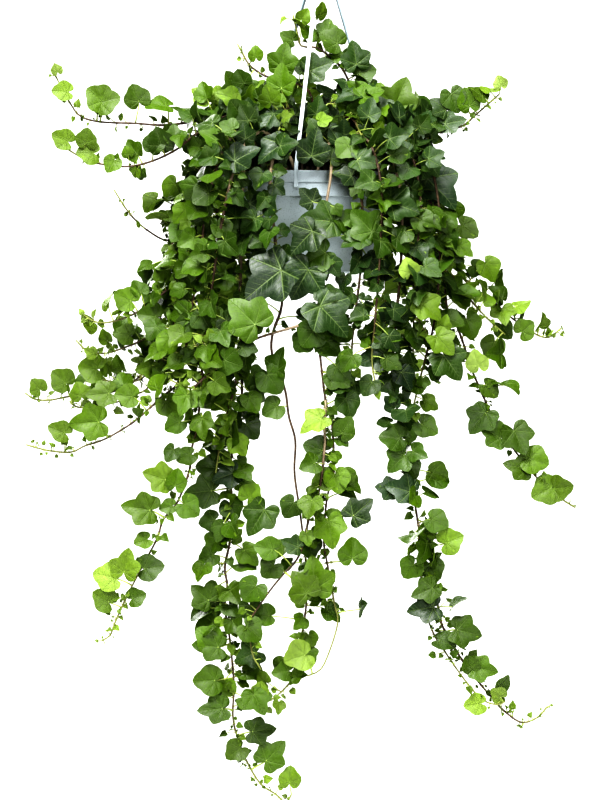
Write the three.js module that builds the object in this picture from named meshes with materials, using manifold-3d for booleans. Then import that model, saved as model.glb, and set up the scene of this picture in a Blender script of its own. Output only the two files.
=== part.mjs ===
// English ivy in a hanging pot: a plastic pot on three straps and a hook, potting soil, and the
// leafy stems that rise from the soil, arch over the rim and trail far below the pot.
// Units are millimetres and +Z is up. The origin is the point where the hook bears on what
// carries it. The front, where the growth is fullest, faces -Y.

import * as THREE from 'three';
import { mergeVertices } from 'three/addons/utils/BufferGeometryUtils.js';
import Module from 'manifold-3d';

const wasm = await Module();
wasm.setup();

// Pot
const POT_X = -12; // the full left side of the plant draws the pot off the hook's plumb line
const RIM_Z = -326;
const POT_HEIGHT = 125;
const RIM_RADIUS = 99;
const RIM_BAND = 15;
const SHOULDER_RADIUS = 96.4;
const SHOULDER_BAND = 32; // from the top of the rim down to the end of the second band
const BODY_RADIUS = 93.6;
const BASE_RADIUS = 70;
const WALL = 1.8;
const FLOOR = 2.4;
const POT_SIDES = 28;
const DRAIN_HOLE = { radius: 5, circle: 46, count: 5 };

// Soil
const GAP = 0.4; // between pieces that lie against each other
const SOIL_DEPTH = 17; // from the rim down to the soil
const SOIL_Z = RIM_Z - SOIL_DEPTH;
const ROOT_HOLE = { width: 7, depth: 24 };
const ROOT_DEPTH = 22.5;

// Hanger
const HOOK = { rod: 4, inner: 9, tip: 10 };
const BOSS = { radius: 9, top: -48, bottom: -58 };
const STRAP = { width: 5, thick: 1.8, azimuths: [-11, 109, -131], reach: 21 };

// Foliage
const BLADE_THICKNESS = 0.8;
const PETIOLE_WIDTH = 1.1;
const STEM_FOOT_RADIUS = 2.4;
const STEM_TIP_RADIUS = 1.2;
const STEM_TOLERANCE = 2.2; // how far the faceted stem may stray from its smooth route
const FIRST_LEAF = 34; // bare length of each stem above the soil
const FIRST_SIDE_LEAF = 12; // and of each side shoot
const BUD_SHARE = 0.45; // of a full leaf's size
const LEAF_CLEARANCE = 0.35;
const TIP_CLEARANCE = 2.5; // from the end of a stem to the nearest stalk
const LARGE_LEAF = 34;
const KEPT_EVERY = 8; // of the common leaves, every eighth one is in the model

const UP = new THREE.Vector3(0, 0, 1);

const COLOUR = {
  pot: '#93a3b0',
  soil: '#3a2a1f',
  strap: '#b9c4cc',
  hook: '#b4c0c8',
  leaf: '#4f7a37',
};

// Outlines of half a blade, from beside the stalk to just short of the apex, as shares of the
// blade's length: how far across from the midrib, and how far along it.
const HALF_OUTLINES = {
  five: [[0.45, -0.2], [0.5, 0.05], [0.67, 0.4], [0.34, 0.56]],
  three: [[0.42, -0.2], [0.66, 0.38], [0.35, 0.58]],
  broad: [[0.48, -0.24], [0.73, 0.36], [0.45, 0.66]],
  young: [[0.48, 0.1], [0.37, 0.56]],
};

// The stems that can be told apart, each with its side shoots. A route's first point is where
// it leaves the soil. Size is the blade's length and spacing the length of stem between leaves,
// each near the root and near the tip. A bare stretch is a route, and from which height to which
// it has no leaves. From budsFrom, a share of a route's length, the leaves that the rule sets
// stay buds, since the large ones there are placed one by one.
const STEMS = [
  {
    name: 'trail_front_1', size: [25, 22], spacing: [9, 13],
    bare: [[0, -960, -868], [1, -868, -775]], budsFrom: { 0: 0.75, 1: 0.6 },
    routes: [
      [[-7, -52, SOIL_Z], [2, -76, -298], [10, -104, -294], [12, -120, -330], [2, -143, -400],
        [-4, -141, -507], [-3, -142, -540], [5, -141, -610], [13, -140, -640], [15, -139, -700],
        [7, -138, -730], [3, -136, -782], [8, -135, -815], [16, -134, -860], [20, -133, -885],
        [6, -131, -929], [-6, -131, -945], [-30, -130, -950], [-58, -129, -944]],
      [[5, -141, -610], [4, -150, -645], [4, -155, -667], [-2, -156, -718], [-13, -155, -745],
        [-26, -153, -798], [-47, -150, -824], [-61, -149, -841], [-80, -148, -868],
        [-88, -147, -884], [-85, -146, -920], [-74, -145, -941]],
      [[-4, -141, -507], [-26, -152, -518], [-85, -168, -537], [-110, -174, -556],
        [-140, -178, -580], [-160, -176, -595], [-186, -172, -585]],
      [[-110, -174, -556], [-130, -177, -552], [-157, -178, -542]],
    ],
  },
  {
    name: 'trail_front_2', size: [23, 20], spacing: [10, 13],
    bare: [[0, -772, -520]],
    routes: [
      [[-27, -72, SOIL_Z], [-42, -92, -304], [-57, -113, -306], [-63, -128, -345],
        [-56, -131, -420], [-48, -132, -487], [-60, -132, -529], [-60, -131, -556],
        [-45, -130, -596], [-40, -129, -630], [-32, -128, -660], [-33, -127, -700],
        [-26, -126, -750], [-19, -125, -810], [-18, -124, -855], [-24, -123, -900],
        [-31, -122, -944], [-49, -121, -969], [-71, -120, -983], [-88, -118, -979]],
    ],
  },
  {
    name: 'trail_front_3', size: [25, 24], spacing: [8, 10], budsFrom: { 0: 0.84 },
    routes: [
      [[-58, -61, SOIL_Z], [-76, -76, -300], [-90, -94, -296], [-97, -106, -335],
        [-98, -110, -400], [-100, -112, -485], [-98, -110, -610], [-107, -108, -663],
        [-112, -106, -690], [-110, -104, -750], [-113, -102, -786], [-119, -100, -816],
        [-116, -99, -840], [-119, -98, -866], [-113, -97, -905], [-108, -95, -960],
        [-109, -94, -1003], [-100, -94, -1037], [-88, -94, -1064], [-74, -95, -1085],
        [-56, -96, -1097], [-44, -98, -1107], [-37, -99, -1097]],
      [[-99, -110, -560], [-108, -126, -600], [-122, -132, -650], [-130, -130, -700]],
    ],
  },
  {
    name: 'trail_left_1', size: [25, 25], spacing: [8, 13], budsFrom: { 0: 0.64 },
    routes: [
      [[-37, -50, SOIL_Z], [-62, -92, -284], [-90, -130, -290], [-112, -150, -345],
        [-130, -158, -440], [-145, -160, -560], [-151, -160, -635], [-159, -158, -670],
        [-162, -157, -697], [-177, -155, -736], [-194, -154, -757], [-202, -153, -781],
        [-223, -151, -820], [-240, -149, -854], [-252, -147, -880], [-259, -146, -898],
        [-270, -145, -906]],
    ],
  },
  {
    name: 'trail_left_2', size: [25, 22], spacing: [8, 16], budsFrom: { 0: 0.77 },
    routes: [
      [[-54, -40, SOIL_Z], [-84, -76, -282], [-112, -116, -288], [-136, -140, -350],
        [-152, -146, -450], [-166, -146, -545], [-175, -144, -587], [-196, -142, -606],
        [-212, -141, -621], [-235, -140, -640], [-266, -138, -658], [-290, -136, -666],
        [-308, -135, -674], [-336, -133, -672], [-363, -131, -665]],
    ],
  },
  {
    name: 'trail_left_3', size: [23, 20], spacing: [8, 13],
    routes: [
      [[-76, -41, SOIL_Z], [-98, -66, -294], [-128, -98, -302], [-150, -117, -370],
        [-170, -122, -470], [-192, -122, -550], [-213, -120, -594], [-231, -119, -603],
        [-253, -118, -613], [-284, -116, -618], [-299, -115, -619], [-310, -114, -613]],
    ],
  },
  {
    name: 'trail_left_4', size: [25, 20], spacing: [8, 13],
    routes: [
      [[-68, -22, SOIL_Z], [-92, -44, -276], [-130, -78, -290], [-152, -92, -350],
        [-166, -97, -420], [-178, -98, -458], [-193, -98, -476], [-212, -98, -492],
        [-236, -98, -506], [-262, -97, -514], [-280, -95, -513], [-298, -93, -502]],
    ],
  },
  {
    name: 'trail_left_5', size: [23, 18], spacing: [8, 13],
    routes: [
      [[-86, -16, SOIL_Z], [-112, -32, -290], [-145, -50, -310], [-160, -60, -380],
        [-166, -64, -450], [-172, -65, -495], [-190, -66, -514], [-221, -66, -535],
        [-244, -66, -545], [-268, -65, -552], [-290, -63, -549], [-304, -61, -536]],
    ],
  },
  {
    name: 'trail_left_6', size: [25, 20], spacing: [8, 13],
    routes: [
      [[-72, 2, SOIL_Z], [-104, -4, -272], [-150, -18, -300], [-174, -26, -370],
        [-192, -30, -450], [-205, -31, -540], [-217, -31, -577], [-238, -31, -588],
        [-262, -30, -587], [-286, -29, -579]],
    ],
  },
  {
    name: 'trail_left_7', size: [23, 22], spacing: [8, 14], budsFrom: { 0: 0.85 },
    routes: [
      [[-88, 15, SOIL_Z], [-118, 12, -292], [-160, 6, -315], [-185, 0, -390],
        [-200, -6, -480], [-212, -10, -555], [-235, -12, -588], [-270, -12, -602],
        [-310, -11, -605], [-338, -9, -610], [-357, -8, -609], [-370, -7, -601]],
    ],
  },
  {
    name: 'twig_left', size: [16, 8], spacing: [10, 24],
    routes: [
      [[-80, 33, SOIL_Z], [-108, 38, -302], [-140, 36, -325], [-165, 28, -385],
        [-189, 20, -410], [-218, 15, -397], [-240, 11, -376], [-259, 8, -347]],
    ],
  },
  {
    name: 'shoot_left_1', size: [25, 22], spacing: [7, 22], budsFrom: { 0: 0.62 },
    routes: [
      [[-52, -4, SOIL_Z], [-70, -12, -280], [-97, -26, -258], [-135, -38, -260],
        [-190, -42, -268], [-231, -41, -266], [-275, -40, -264], [-299, -38, -257],
        [-312, -36, -241], [-333, -32, -202]],
    ],
  },
  {
    name: 'shoot_left_2', size: [25, 21], spacing: [7, 18], budsFrom: { 0: 0.7 },
    routes: [
      [[-48, -21, SOIL_Z], [-76, -50, -264], [-112, -64, -256], [-157, -72, -282],
        [-178, -74, -299], [-209, -75, -314], [-242, -75, -321], [-280, -73, -316],
        [-305, -71, -305], [-322, -69, -292], [-329, -66, -281]],
    ],
  },
  {
    name: 'trail_right_1', size: [25, 22], spacing: [8, 12],
    budsFrom: { 0: 0.72, 1: 0.12 },
    routes: [
      [[35, -60, SOIL_Z], [60, -88, -300], [84, -110, -305], [98, -124, -360],
        [98, -128, -440], [90, -129, -530], [87, -128, -590], [95, -127, -630],
        [96, -126, -660], [108, -125, -700], [119, -123, -762], [121, -122, -790],
        [125, -121, -855], [137, -120, -895], [151, -119, -918], [176, -118, -954],
        [197, -117, -978], [215, -116, -985], [226, -115, -982]],
      [[119, -123, -762], [128, -118, -790], [136, -114, -812], [145, -110, -872],
        [153, -108, -896], [180, -104, -940], [212, -101, -979], [226, -99, -994],
        [247, -97, -1008], [267, -95, -1002], [279, -93, -989]],
    ],
  },
  {
    name: 'trail_right_2', size: [25, 22], spacing: [8, 10],
    routes: [
      [[30, -40, SOIL_Z], [72, -76, -284], [106, -104, -298], [122, -121, -360],
        [116, -130, -440], [113, -131, -481], [120, -132, -512], [131, -132, -531],
        [140, -131, -551], [145, -130, -561]],
    ],
  },
  {
    name: 'trail_right_3', size: [25, 22], spacing: [8, 11], budsFrom: { 0: 0.6 },
    routes: [
      [[44, -22, SOIL_Z], [98, -38, -274], [130, -50, -300], [142, -58, -370],
        [152, -63, -440], [156, -64, -495], [168, -64, -518], [178, -64, -545],
        [185, -62, -568], [197, -61, -596], [217, -59, -639], [245, -56, -679],
        [275, -52, -714], [299, -48, -733], [316, -46, -744]],
    ],
  },
  {
    name: 'trail_right_4', size: [23, 20], spacing: [8, 12],
    routes: [
      [[63, -13, SOIL_Z], [98, -8, -286], [124, -12, -302], [136, -24, -360],
        [142, -30, -409], [146, -32, -427], [170, -34, -465], [196, -34, -497],
        [216, -32, -517], [230, -30, -529]],
    ],
  },
  {
    name: 'trail_right_5', size: [25, 20], spacing: [8, 13],
    routes: [
      [[47, 7, SOIL_Z], [92, 18, -264], [130, 22, -285], [146, 16, -345],
        [162, 11, -420], [180, 8, -460], [214, 6, -486], [242, 4, -510],
        [271, 2, -529], [287, 1, -531], [300, 0, -520]],
    ],
  },
  {
    name: 'shoot_right', size: [23, 20], spacing: [7, 13], budsFrom: { 0: 0.58 },
    routes: [
      [[32, -5, SOIL_Z], [62, -10, -268], [100, -15, -254], [137, -25, -274],
        [151, -26, -276], [177, -27, -268], [189, -27, -258], [214, -26, -236],
        [222, -25, -229]],
    ],
  },
  {
    name: 'fill_right_1', size: [23, 20], spacing: [8, 11],
    routes: [
      [[10, -70, SOIL_Z], [28, -96, -304], [42, -116, -315], [50, -127, -370],
        [48, -131, -450], [42, -131, -500], [38, -130, -540], [36, -128, -590]],
    ],
  },
  {
    name: 'fill_right_2', size: [25, 22], spacing: [8, 10],
    routes: [
      [[15, -51, SOIL_Z], [38, -92, -286], [60, -128, -296], [73, -146, -345],
        [72, -152, -430], [66, -152, -510], [62, -150, -560], [68, -149, -600]],
    ],
  },
  {
    name: 'fill_right_3', size: [25, 22], spacing: [8, 10],
    routes: [
      [[52, -41, SOIL_Z], [92, -64, -286], [126, -82, -300], [144, -92, -360],
        [146, -97, -440], [140, -99, -510], [128, -99, -560], [118, -98, -600],
        [110, -96, -635]],
    ],
  },
  {
    name: 'fill_right_4', size: [25, 22], spacing: [8, 10],
    routes: [
      [[57, 28, SOIL_Z], [100, 46, -284], [124, 54, -310], [140, 54, -380],
        [148, 50, -450], [146, 48, -510]],
    ],
  },
  {
    name: 'top_left', size: [25, 18], spacing: [7, 12], budsFrom: { 0: 0.62 },
    routes: [
      [[-20, -8, SOIL_Z], [-10, -24, -262], [-14, -32, -228], [-30, -36, -217],
        [-47, -36, -212], [-66, -36, -208], [-78, -35, -202], [-90, -34, -192],
        [-98, -33, -178], [-104, -32, -167]],
    ],
  },
  {
    name: 'top_centre', size: [25, 20], spacing: [8, 13],
    routes: [
      [[2, 6, SOIL_Z], [24, -8, -270], [36, -18, -226], [30, -20, -203], [17, -20, -187],
        [-5, -20, -171], [-24, -20, -169], [-29, -20, -155], [-35, -20, -130]],
    ],
  },
  {
    name: 'top_right', size: [23, 20], spacing: [7, 10],
    routes: [
      [[17, -26, SOIL_Z], [46, -44, -282], [73, -61, -266], [72, -65, -252],
        [44, -70, -246], [9, -74, -243]],
    ],
  },
];

// Short stems that arch out of the crown on every side and carry the dome of leaves.
const CROWN = {
  count: 12, first: 4, root: 24, size: [32, 27], spacing: [7, 7],
  // shares of the reach, and heights above the soil
  profile: [[0.3, 58], [0.58, 88], [0.8, 84], [1, 62]],
  reach: 128,
};

// Stems that hang down the back. The middle ones end above the pot's floor.
const BACK = {
  azimuths: [126, 142, 158, 174, 190, 206, 222, 238], roots: [74, 56], size: [30, 26],
  spacing: [8, 9], reach: 150,
  drops: [250, 190, 105, 80, 90, 120, 230, 280],
};

// The blades that stand out most, each by its stem, the base and apex of its midrib, and the
// way it faces.
const PLACED_LEAVES = [
  ['trail_front_1', [-49, -158, -451], [-97, -164, -487], [-0.1, -1, 0.5]],
  ['trail_front_1', [-81, -182, -518], [-115, -180, -484], [0.1, -1, 0.1]],
  ['trail_front_1', [-2, -166, -495], [36, -172, -532], [0.1, -1, 0.4]],
  ['trail_front_1', [-11, -160, -403], [-40, -164, -432], [0, -1, 0.5]],
  ['trail_front_1', [-9, -150, -524], [-25, -152, -547], [0.2, -1, 0.1]],
  ['trail_front_2', [-66, -140, -579], [-49, -142, -602], [-0.2, -1, 0.3]],
  ['trail_front_2', [-54, -142, -573], [-49, -144, -542], [-0.8, -1, 0.2]],
  ['trail_front_2', [-49, -124, -295], [-80, -132, -318], [-0.1, -1, 0.5]],
  ['trail_left_1', [-106, -152, -317], [-75, -158, -299], [-0.1, -1, 0.4]],
  ['trail_left_1', [-93, -138, -289], [-95, -144, -266], [0, -1, 0.6]],
  ['trail_front_1', [-12, -122, -310], [-5, -130, -272], [0, -1, 0.5]],
  ['top_right', [28, -100, -283], [28, -112, -262], [0, -1, 0.7]],
  ['fill_right_1', [34, -126, -297], [18, -132, -312], [0, -1, 0.4]],
  ['fill_right_2', [44, -136, -315], [76, -144, -320], [0.1, -1, 0.5]],
  ['trail_left_1', [-59, -98, -256], [-74, -106, -281], [-0.2, -0.8, 0.6]],
  ['fill_right_1', [62, -148, -404], [36, -150, -375], [0, -1, 0.3]],
  ['fill_right_1', [50, -152, -412], [22, -158, -421], [-0.3, -1, 0.5]],
  ['trail_right_1', [85, -142, -368], [123, -150, -379], [0.2, -1, 0.5]],
  ['trail_right_1', [77, -140, -554], [44, -144, -565], [-0.1, -1, 0.3]],
  ['trail_right_2', [123, -146, -492], [150, -150, -512], [0.1, -1, 0.4]],
  ['trail_right_2', [142, -146, -533], [165, -152, -555], [0.2, -1, 0.4]],
  ['trail_right_4', [131, -60, -336], [170, -78, -371], [0.3, -1, 0.6]],
  ['top_left', [-49, -46, -196], [-44, -50, -163], [-0.1, -1, 0.2]],
  ['top_left', [-14, -46, -201], [16, -50, -188], [0.1, -1, 0.3]],
  ['top_centre', [20, -30, -166], [-2, -34, -151], [0.1, -1, 0.3]],
  ['top_centre', [44, -28, -192], [39, -32, -160], [0.2, -1, 0.2]],
  ['top_right', [42, -84, -232], [16, -92, -239], [0, -0.7, 0.8]],
  ['shoot_right', [92, -44, -246], [106, -48, -207], [0, -1, 0.2]],
  ['trail_front_1', [5, -148, -429], [-26, -150, -445], [0, -1, 0.2]],
  ['trail_front_1', [14, -142, -391], [-29, -148, -386], [0, -1, 0.3]],
  ['trail_front_1', [37, -124, -334], [11, -128, -330], [0, -1, 0.4]],
  ['trail_front_1', [-16, -152, -450], [-39, -156, -491], [0, -1, 0.1]],
  ['trail_front_3', [-108, -120, -700], [-136, -126, -710], [0, -1, 0.2]],
  ['trail_front_3', [-129, -114, -694], [-157, -116, -691], [0.1, -1, 0.2]],
  ['trail_front_3', [-135, -112, -722], [-171, -116, -725], [0, -1, 0.1]],
  ['trail_front_3', [-139, -106, -857], [-162, -110, -837], [0, -1, 0.1]],
  ['trail_front_3', [-134, -104, -909], [-155, -108, -892], [0.1, -1, 0]],
  ['trail_left_1', [-191, -160, -708], [-221, -164, -697], [-0.2, -1, 0.2]],
  ['trail_left_1', [-210, -160, -745], [-248, -164, -738], [0, -1, 0.1]],
  ['trail_left_1', [-242, -156, -821], [-236, -164, -789], [-0.1, -1, 0.1]],
  ['trail_left_1', [-254, -154, -828], [-282, -158, -821], [0, -1, 0.2]],
  ['trail_left_1', [-217, -154, -817], [-191, -158, -812], [0, -1, 0.2]],
  ['trail_left_1', [-261, -152, -858], [-282, -156, -844], [0.1, -1, 0.1]],
  ['trail_left_2', [-273, -144, -637], [-311, -148, -639], [0, -1, 0.1]],
  ['trail_left_3', [-261, -124, -602], [-293, -128, -604], [0, -1, 0.3]],
  ['trail_left_4', [-204, -104, -507], [-229, -108, -502], [0, -1, 0.2]],
  ['trail_left_6', [-279, -36, -572], [-305, -40, -567], [0, -1, 0.2]],
  ['shoot_left_1', [-272, -46, -239], [-292, -50, -221], [0, -1, 0.3]],
  ['shoot_left_1', [-275, -46, -241], [-249, -50, -232], [0.2, -1, 0.4]],
  ['shoot_left_1', [-192, -48, -245], [-219, -52, -241], [0, -0.6, 0.9]],
  ['trail_right_2', [150, -142, -555], [173, -146, -586], [0.1, -1, 0.2]],
  ['trail_right_3', [223, -60, -553], [207, -90, -553], [0.88, -0.47, 0.1]],
  ['trail_right_3', [225, -66, -591], [246, -86, -598], [0.7, -0.7, 0.1]],
  ['trail_right_3', [204, -70, -626], [183, -78, -652], [-0.2, -1, 0.1]],
  ['trail_right_3', [222, -68, -657], [195, -74, -641], [-0.1, -1, 0.2]],
  ['trail_right_3', [239, -66, -648], [254, -74, -680], [0.3, -1, 0.2]],
  ['trail_right_3', [258, -62, -683], [284, -66, -690], [0.1, -1, 0.2]],
  ['trail_right_3', [254, -60, -696], [225, -66, -687], [0, -1, 0.2]],
  ['trail_right_3', [286, -58, -719], [259, -62, -731], [0, -1, 0.2]],
  ['trail_right_3', [289, -58, -720], [312, -74, -716], [0.4, -1, 0.1]],
  ['trail_right_5', [226, -4, -497], [231, -26, -517], [0, -0.6, 0.8]],
  ['shoot_right', [162, -36, -229], [172, -40, -254], [0.2, -1, 0]],
  ['shoot_right', [154, -40, -267], [182, -44, -260], [0, -1, 0.4]],
  ['shoot_right', [155, -38, -249], [135, -40, -233], [0, -1, 0.4]],
  ['trail_front_3', [-127, -106, -915], [-162, -110, -911], [0, -1, 0.2]],
  ['trail_front_3', [-131, -104, -956], [-160, -108, -956], [0, -1, 0.1]],
  ['trail_front_3', [-122, -104, -991], [-156, -108, -993], [0.1, -1, 0.3]],
  ['trail_front_3', [-85, -104, -1019], [-53, -108, -1015], [0, -1, 0.1]],
  ['trail_front_3', [-68, -104, -1055], [-43, -108, -1029], [0.1, -1, 0.2]],
  ['trail_front_3', [-80, -110, -921], [-108, -114, -932], [0, -1, 0.3]],
  ['trail_front_2', [-83, -132, -972], [-68, -138, -999], [0.1, -1, 0.2]],
  ['trail_front_1', [-18, -156, -847], [-36, -162, -818], [0, -1, 0.2]],
  ['trail_front_1', [-20, -146, -923], [-48, -150, -931], [-0.1, -1, 0.2]],
  ['trail_front_1', [-8, -150, -842], [-11, -156, -798], [0.1, -1, 0.1]],
  ['trail_front_1', [39, -150, -752], [64, -154, -730], [0.1, -1, 0.2]],
  ['trail_front_1', [38, -150, -804], [38, -154, -777], [0.2, -1, 0.1]],
  ['trail_front_1', [8, -156, -759], [16, -162, -794], [0.2, -1, 0.2]],
  ['trail_front_1', [0, -154, -633], [-29, -160, -648], [0.2, -1, 0.9]],
  ['trail_front_1', [2, -150, -672], [-24, -154, -664], [0, -1, 0.2]],
  ['trail_front_1', [17, -150, -702], [24, -156, -726], [0.2, -1, 0.2]],
  ['trail_front_3', [-70, -120, -745], [-91, -126, -779], [0.1, -1, 0.2]],
  ['trail_right_1', [96, -136, -657], [68, -140, -655], [0, -1, 0.2]],
  ['trail_right_1', [102, -136, -678], [80, -140, -700], [-0.1, -1, 0.2]],
  ['trail_right_1', [109, -138, -723], [78, -144, -713], [-0.1, -1, 0.3]],
  ['trail_right_1', [153, -132, -786], [177, -136, -775], [0.1, -1, 0.2]],
  ['trail_right_1', [137, -132, -841], [109, -136, -852], [0, -1, 0.2]],
  ['trail_right_1', [138, -126, -865], [102, -128, -870], [0, -1, 0.2]],
  ['trail_right_1', [167, -126, -893], [200, -130, -900], [0.1, -1, 0.2]],
  ['trail_right_1', [190, -116, -940], [220, -120, -945], [0.1, -1, 0.1]],
  ['trail_front_1', [48, -146, -866], [52, -170, -858], [-1, -0.2, 0.1]],
];

// Where the plant lies open: west, east, bottom and top of each gap seen from the front, and
// how far to the back the gap reaches.
const BACK_TO_POT = -40;
const RIGHT_THROUGH = 300;
const GAPS = [
  [-42, 10, -372, -322, BACK_TO_POT], [10, 34, -372, -350, BACK_TO_POT],
  [-22, -12, -240, -190, BACK_TO_POT], [-29, -19, -315, -240, BACK_TO_POT],
  [-72, -26, -512, -478, RIGHT_THROUGH], [-76, -34, -568, -530, RIGHT_THROUGH],
  [-42, -4, -606, -554, RIGHT_THROUGH], [-38, -14, -640, -594, RIGHT_THROUGH],
  [50, 64, -622, -575, RIGHT_THROUGH], [-50, -26, -760, -665, RIGHT_THROUGH],
  [40, 62, -705, -640, RIGHT_THROUGH], [72, 95, -790, -748, RIGHT_THROUGH],
  [-245, -200, -430, -395, RIGHT_THROUGH], [-205, -178, -340, -305, RIGHT_THROUGH],
  [152, 190, -325, -285, RIGHT_THROUGH],
];

const radians = THREE.MathUtils.degToRad;
const mix = THREE.MathUtils.lerp;
const clamp = THREE.MathUtils.clamp;

// A repeatable stream of numbers from 0 to 1.
function randomStream(seed) {
  let state = (seed * 7919 + 104729) % 2147483647;
  const next = () => {
    state = (state * 16807) % 2147483647;
    return state / 2147483647;
  };
  next();
  next();
  return next;
}

// A point at a distance and an azimuth from the pot's axis; azimuth 0 is the front.
function aroundPot(radius, azimuth, z) {
  const angle = radians(azimuth);
  return new THREE.Vector3(POT_X + radius * Math.sin(angle), -radius * Math.cos(angle), z);
}

// Solids

function solidOf(geometry) {
  const bare = geometry.clone();
  bare.deleteAttribute('normal');
  bare.deleteAttribute('uv');
  const merged = mergeVertices(bare, 1e-4);
  const corners = merged.index.array;
  const kept = [];
  for (let i = 0; i < corners.length; i += 3) {
    const [a, b, c] = corners.slice(i, i + 3);
    if (a !== b && b !== c && c !== a) kept.push(a, b, c);
  }
  return new wasm.Manifold(new wasm.Mesh({
    numProp: 3,
    vertProperties: merged.attributes.position.array,
    triVerts: new Uint32Array(kept),
  }));
}

// The outer skin of the largest body, which fills the hollows that a join has sealed.
function wholeBody(solid) {
  return solid.decompose().reduce((a, b) => (a.volume() > b.volume() ? a : b));
}

function geometryOf(solid) {
  const mesh = solid.getMesh();
  const geometry = new THREE.BufferGeometry();
  geometry.setAttribute('position', new THREE.BufferAttribute(mesh.vertProperties, 3));
  geometry.setIndex(new THREE.BufferAttribute(mesh.triVerts, 1));
  return geometry;
}

function meshOf(name, geometry, color, roughness) {
  const material = new THREE.MeshStandardMaterial({
    color, roughness, metalness: 0, flatShading: true,
  });
  const mesh = new THREE.Mesh(geometry, material);
  mesh.name = name;
  return mesh;
}

// A solid turned round the vertical axis from [radius, height] points that start and end on it.
function turned(profile, sides) {
  const points = profile.map(([radius, height]) => new THREE.Vector2(radius, height));
  return new THREE.LatheGeometry(points, sides).rotateX(Math.PI / 2);
}

// A closed tube through points, with a radius for each.
function taperedTube(points, radii, sides) {
  const positions = [];
  const across = new THREE.Vector3();
  const tangent = new THREE.Vector3();
  points.forEach((point, i) => {
    const before = points[Math.max(i - 1, 0)];
    const after = points[Math.min(i + 1, points.length - 1)];
    tangent.subVectors(after, before).normalize();
    if (i === 0) across.set(1, 0, 0);
    across.addScaledVector(tangent, -across.dot(tangent)).normalize();
    const other = new THREE.Vector3().crossVectors(tangent, across);
    for (let side = 0; side < sides; side++) {
      const turn = (side / sides) * 2 * Math.PI;
      const corner = point.clone()
        .addScaledVector(across, radii[i] * Math.cos(turn))
        .addScaledVector(other, radii[i] * Math.sin(turn));
      positions.push(corner.x, corner.y, corner.z);
    }
  });
  const faces = [];
  for (let i = 0; i < points.length - 1; i++) {
    for (let side = 0; side < sides; side++) {
      const a = i * sides + side;
      const b = i * sides + ((side + 1) % sides);
      faces.push(a, b, b + sides, a, b + sides, a + sides);
    }
  }
  const last = (points.length - 1) * sides;
  for (let side = 1; side < sides - 1; side++) {
    faces.push(0, side + 1, side);
    faces.push(last, last + side, last + side + 1);
  }
  const geometry = new THREE.BufferGeometry();
  geometry.setAttribute('position', new THREE.Float32BufferAttribute(positions, 3));
  geometry.setIndex(faces);
  return geometry;
}

// Pot, soil and hanger

function pot() {
  const outside = [
    [0, -POT_HEIGHT], [BASE_RADIUS - 2, -POT_HEIGHT], [BASE_RADIUS, 2 - POT_HEIGHT],
    [BODY_RADIUS, -SHOULDER_BAND - 1.5], [SHOULDER_RADIUS, -SHOULDER_BAND],
    [SHOULDER_RADIUS, -RIM_BAND - 1], [RIM_RADIUS, -RIM_BAND],
    [RIM_RADIUS, -1], [RIM_RADIUS - 0.9, 0],
  ];
  const inside = [
    [RIM_RADIUS - WALL, -0.6], [RIM_RADIUS - WALL, -RIM_BAND + 1],
    [SHOULDER_RADIUS - WALL, -RIM_BAND - 1], [SHOULDER_RADIUS - WALL, -SHOULDER_BAND + 1],
    [BODY_RADIUS - WALL, -SHOULDER_BAND - 2.5],
    [BASE_RADIUS - WALL, FLOOR - POT_HEIGHT], [0, FLOOR - POT_HEIGHT],
  ];
  let shell = solidOf(turned([...outside, ...inside], POT_SIDES));
  const drill = new THREE.CylinderGeometry(
    DRAIN_HOLE.radius, DRAIN_HOLE.radius, 4 * FLOOR, 8,
  ).rotateX(Math.PI / 2);
  for (let i = 0; i < DRAIN_HOLE.count; i++) {
    const angle = (i / DRAIN_HOLE.count) * 2 * Math.PI;
    const hole = drill.clone().translate(
      DRAIN_HOLE.circle * Math.cos(angle), DRAIN_HOLE.circle * Math.sin(angle), -POT_HEIGHT,
    );
    shell = shell.subtract(solidOf(hole));
  }
  return shell.translate([POT_X, 0, RIM_Z]);
}

function soil(roots) {
  const topRadius = SHOULDER_RADIUS - WALL - 2 * GAP;
  const bodyRadius = BODY_RADIUS - WALL - 2 * GAP;
  const profile = [
    [0, FLOOR + GAP - POT_HEIGHT], [BASE_RADIUS - WALL - 2 * GAP, FLOOR + GAP - POT_HEIGHT],
    [bodyRadius, -SHOULDER_BAND - 3], [topRadius, -SHOULDER_BAND + 0.5],
    [topRadius, -SOIL_DEPTH - 2], [topRadius - 12, -SOIL_DEPTH], [0, -SOIL_DEPTH],
  ];
  let plug = solidOf(turned(profile, POT_SIDES)).translate([POT_X, 0, RIM_Z]);
  const punch = new THREE.BoxGeometry(ROOT_HOLE.width, ROOT_HOLE.width, 2 * ROOT_HOLE.depth);
  for (const root of roots) {
    plug = plug.subtract(solidOf(punch.clone().translate(root.x, root.y, SOIL_Z)));
  }
  return plug;
}

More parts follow.
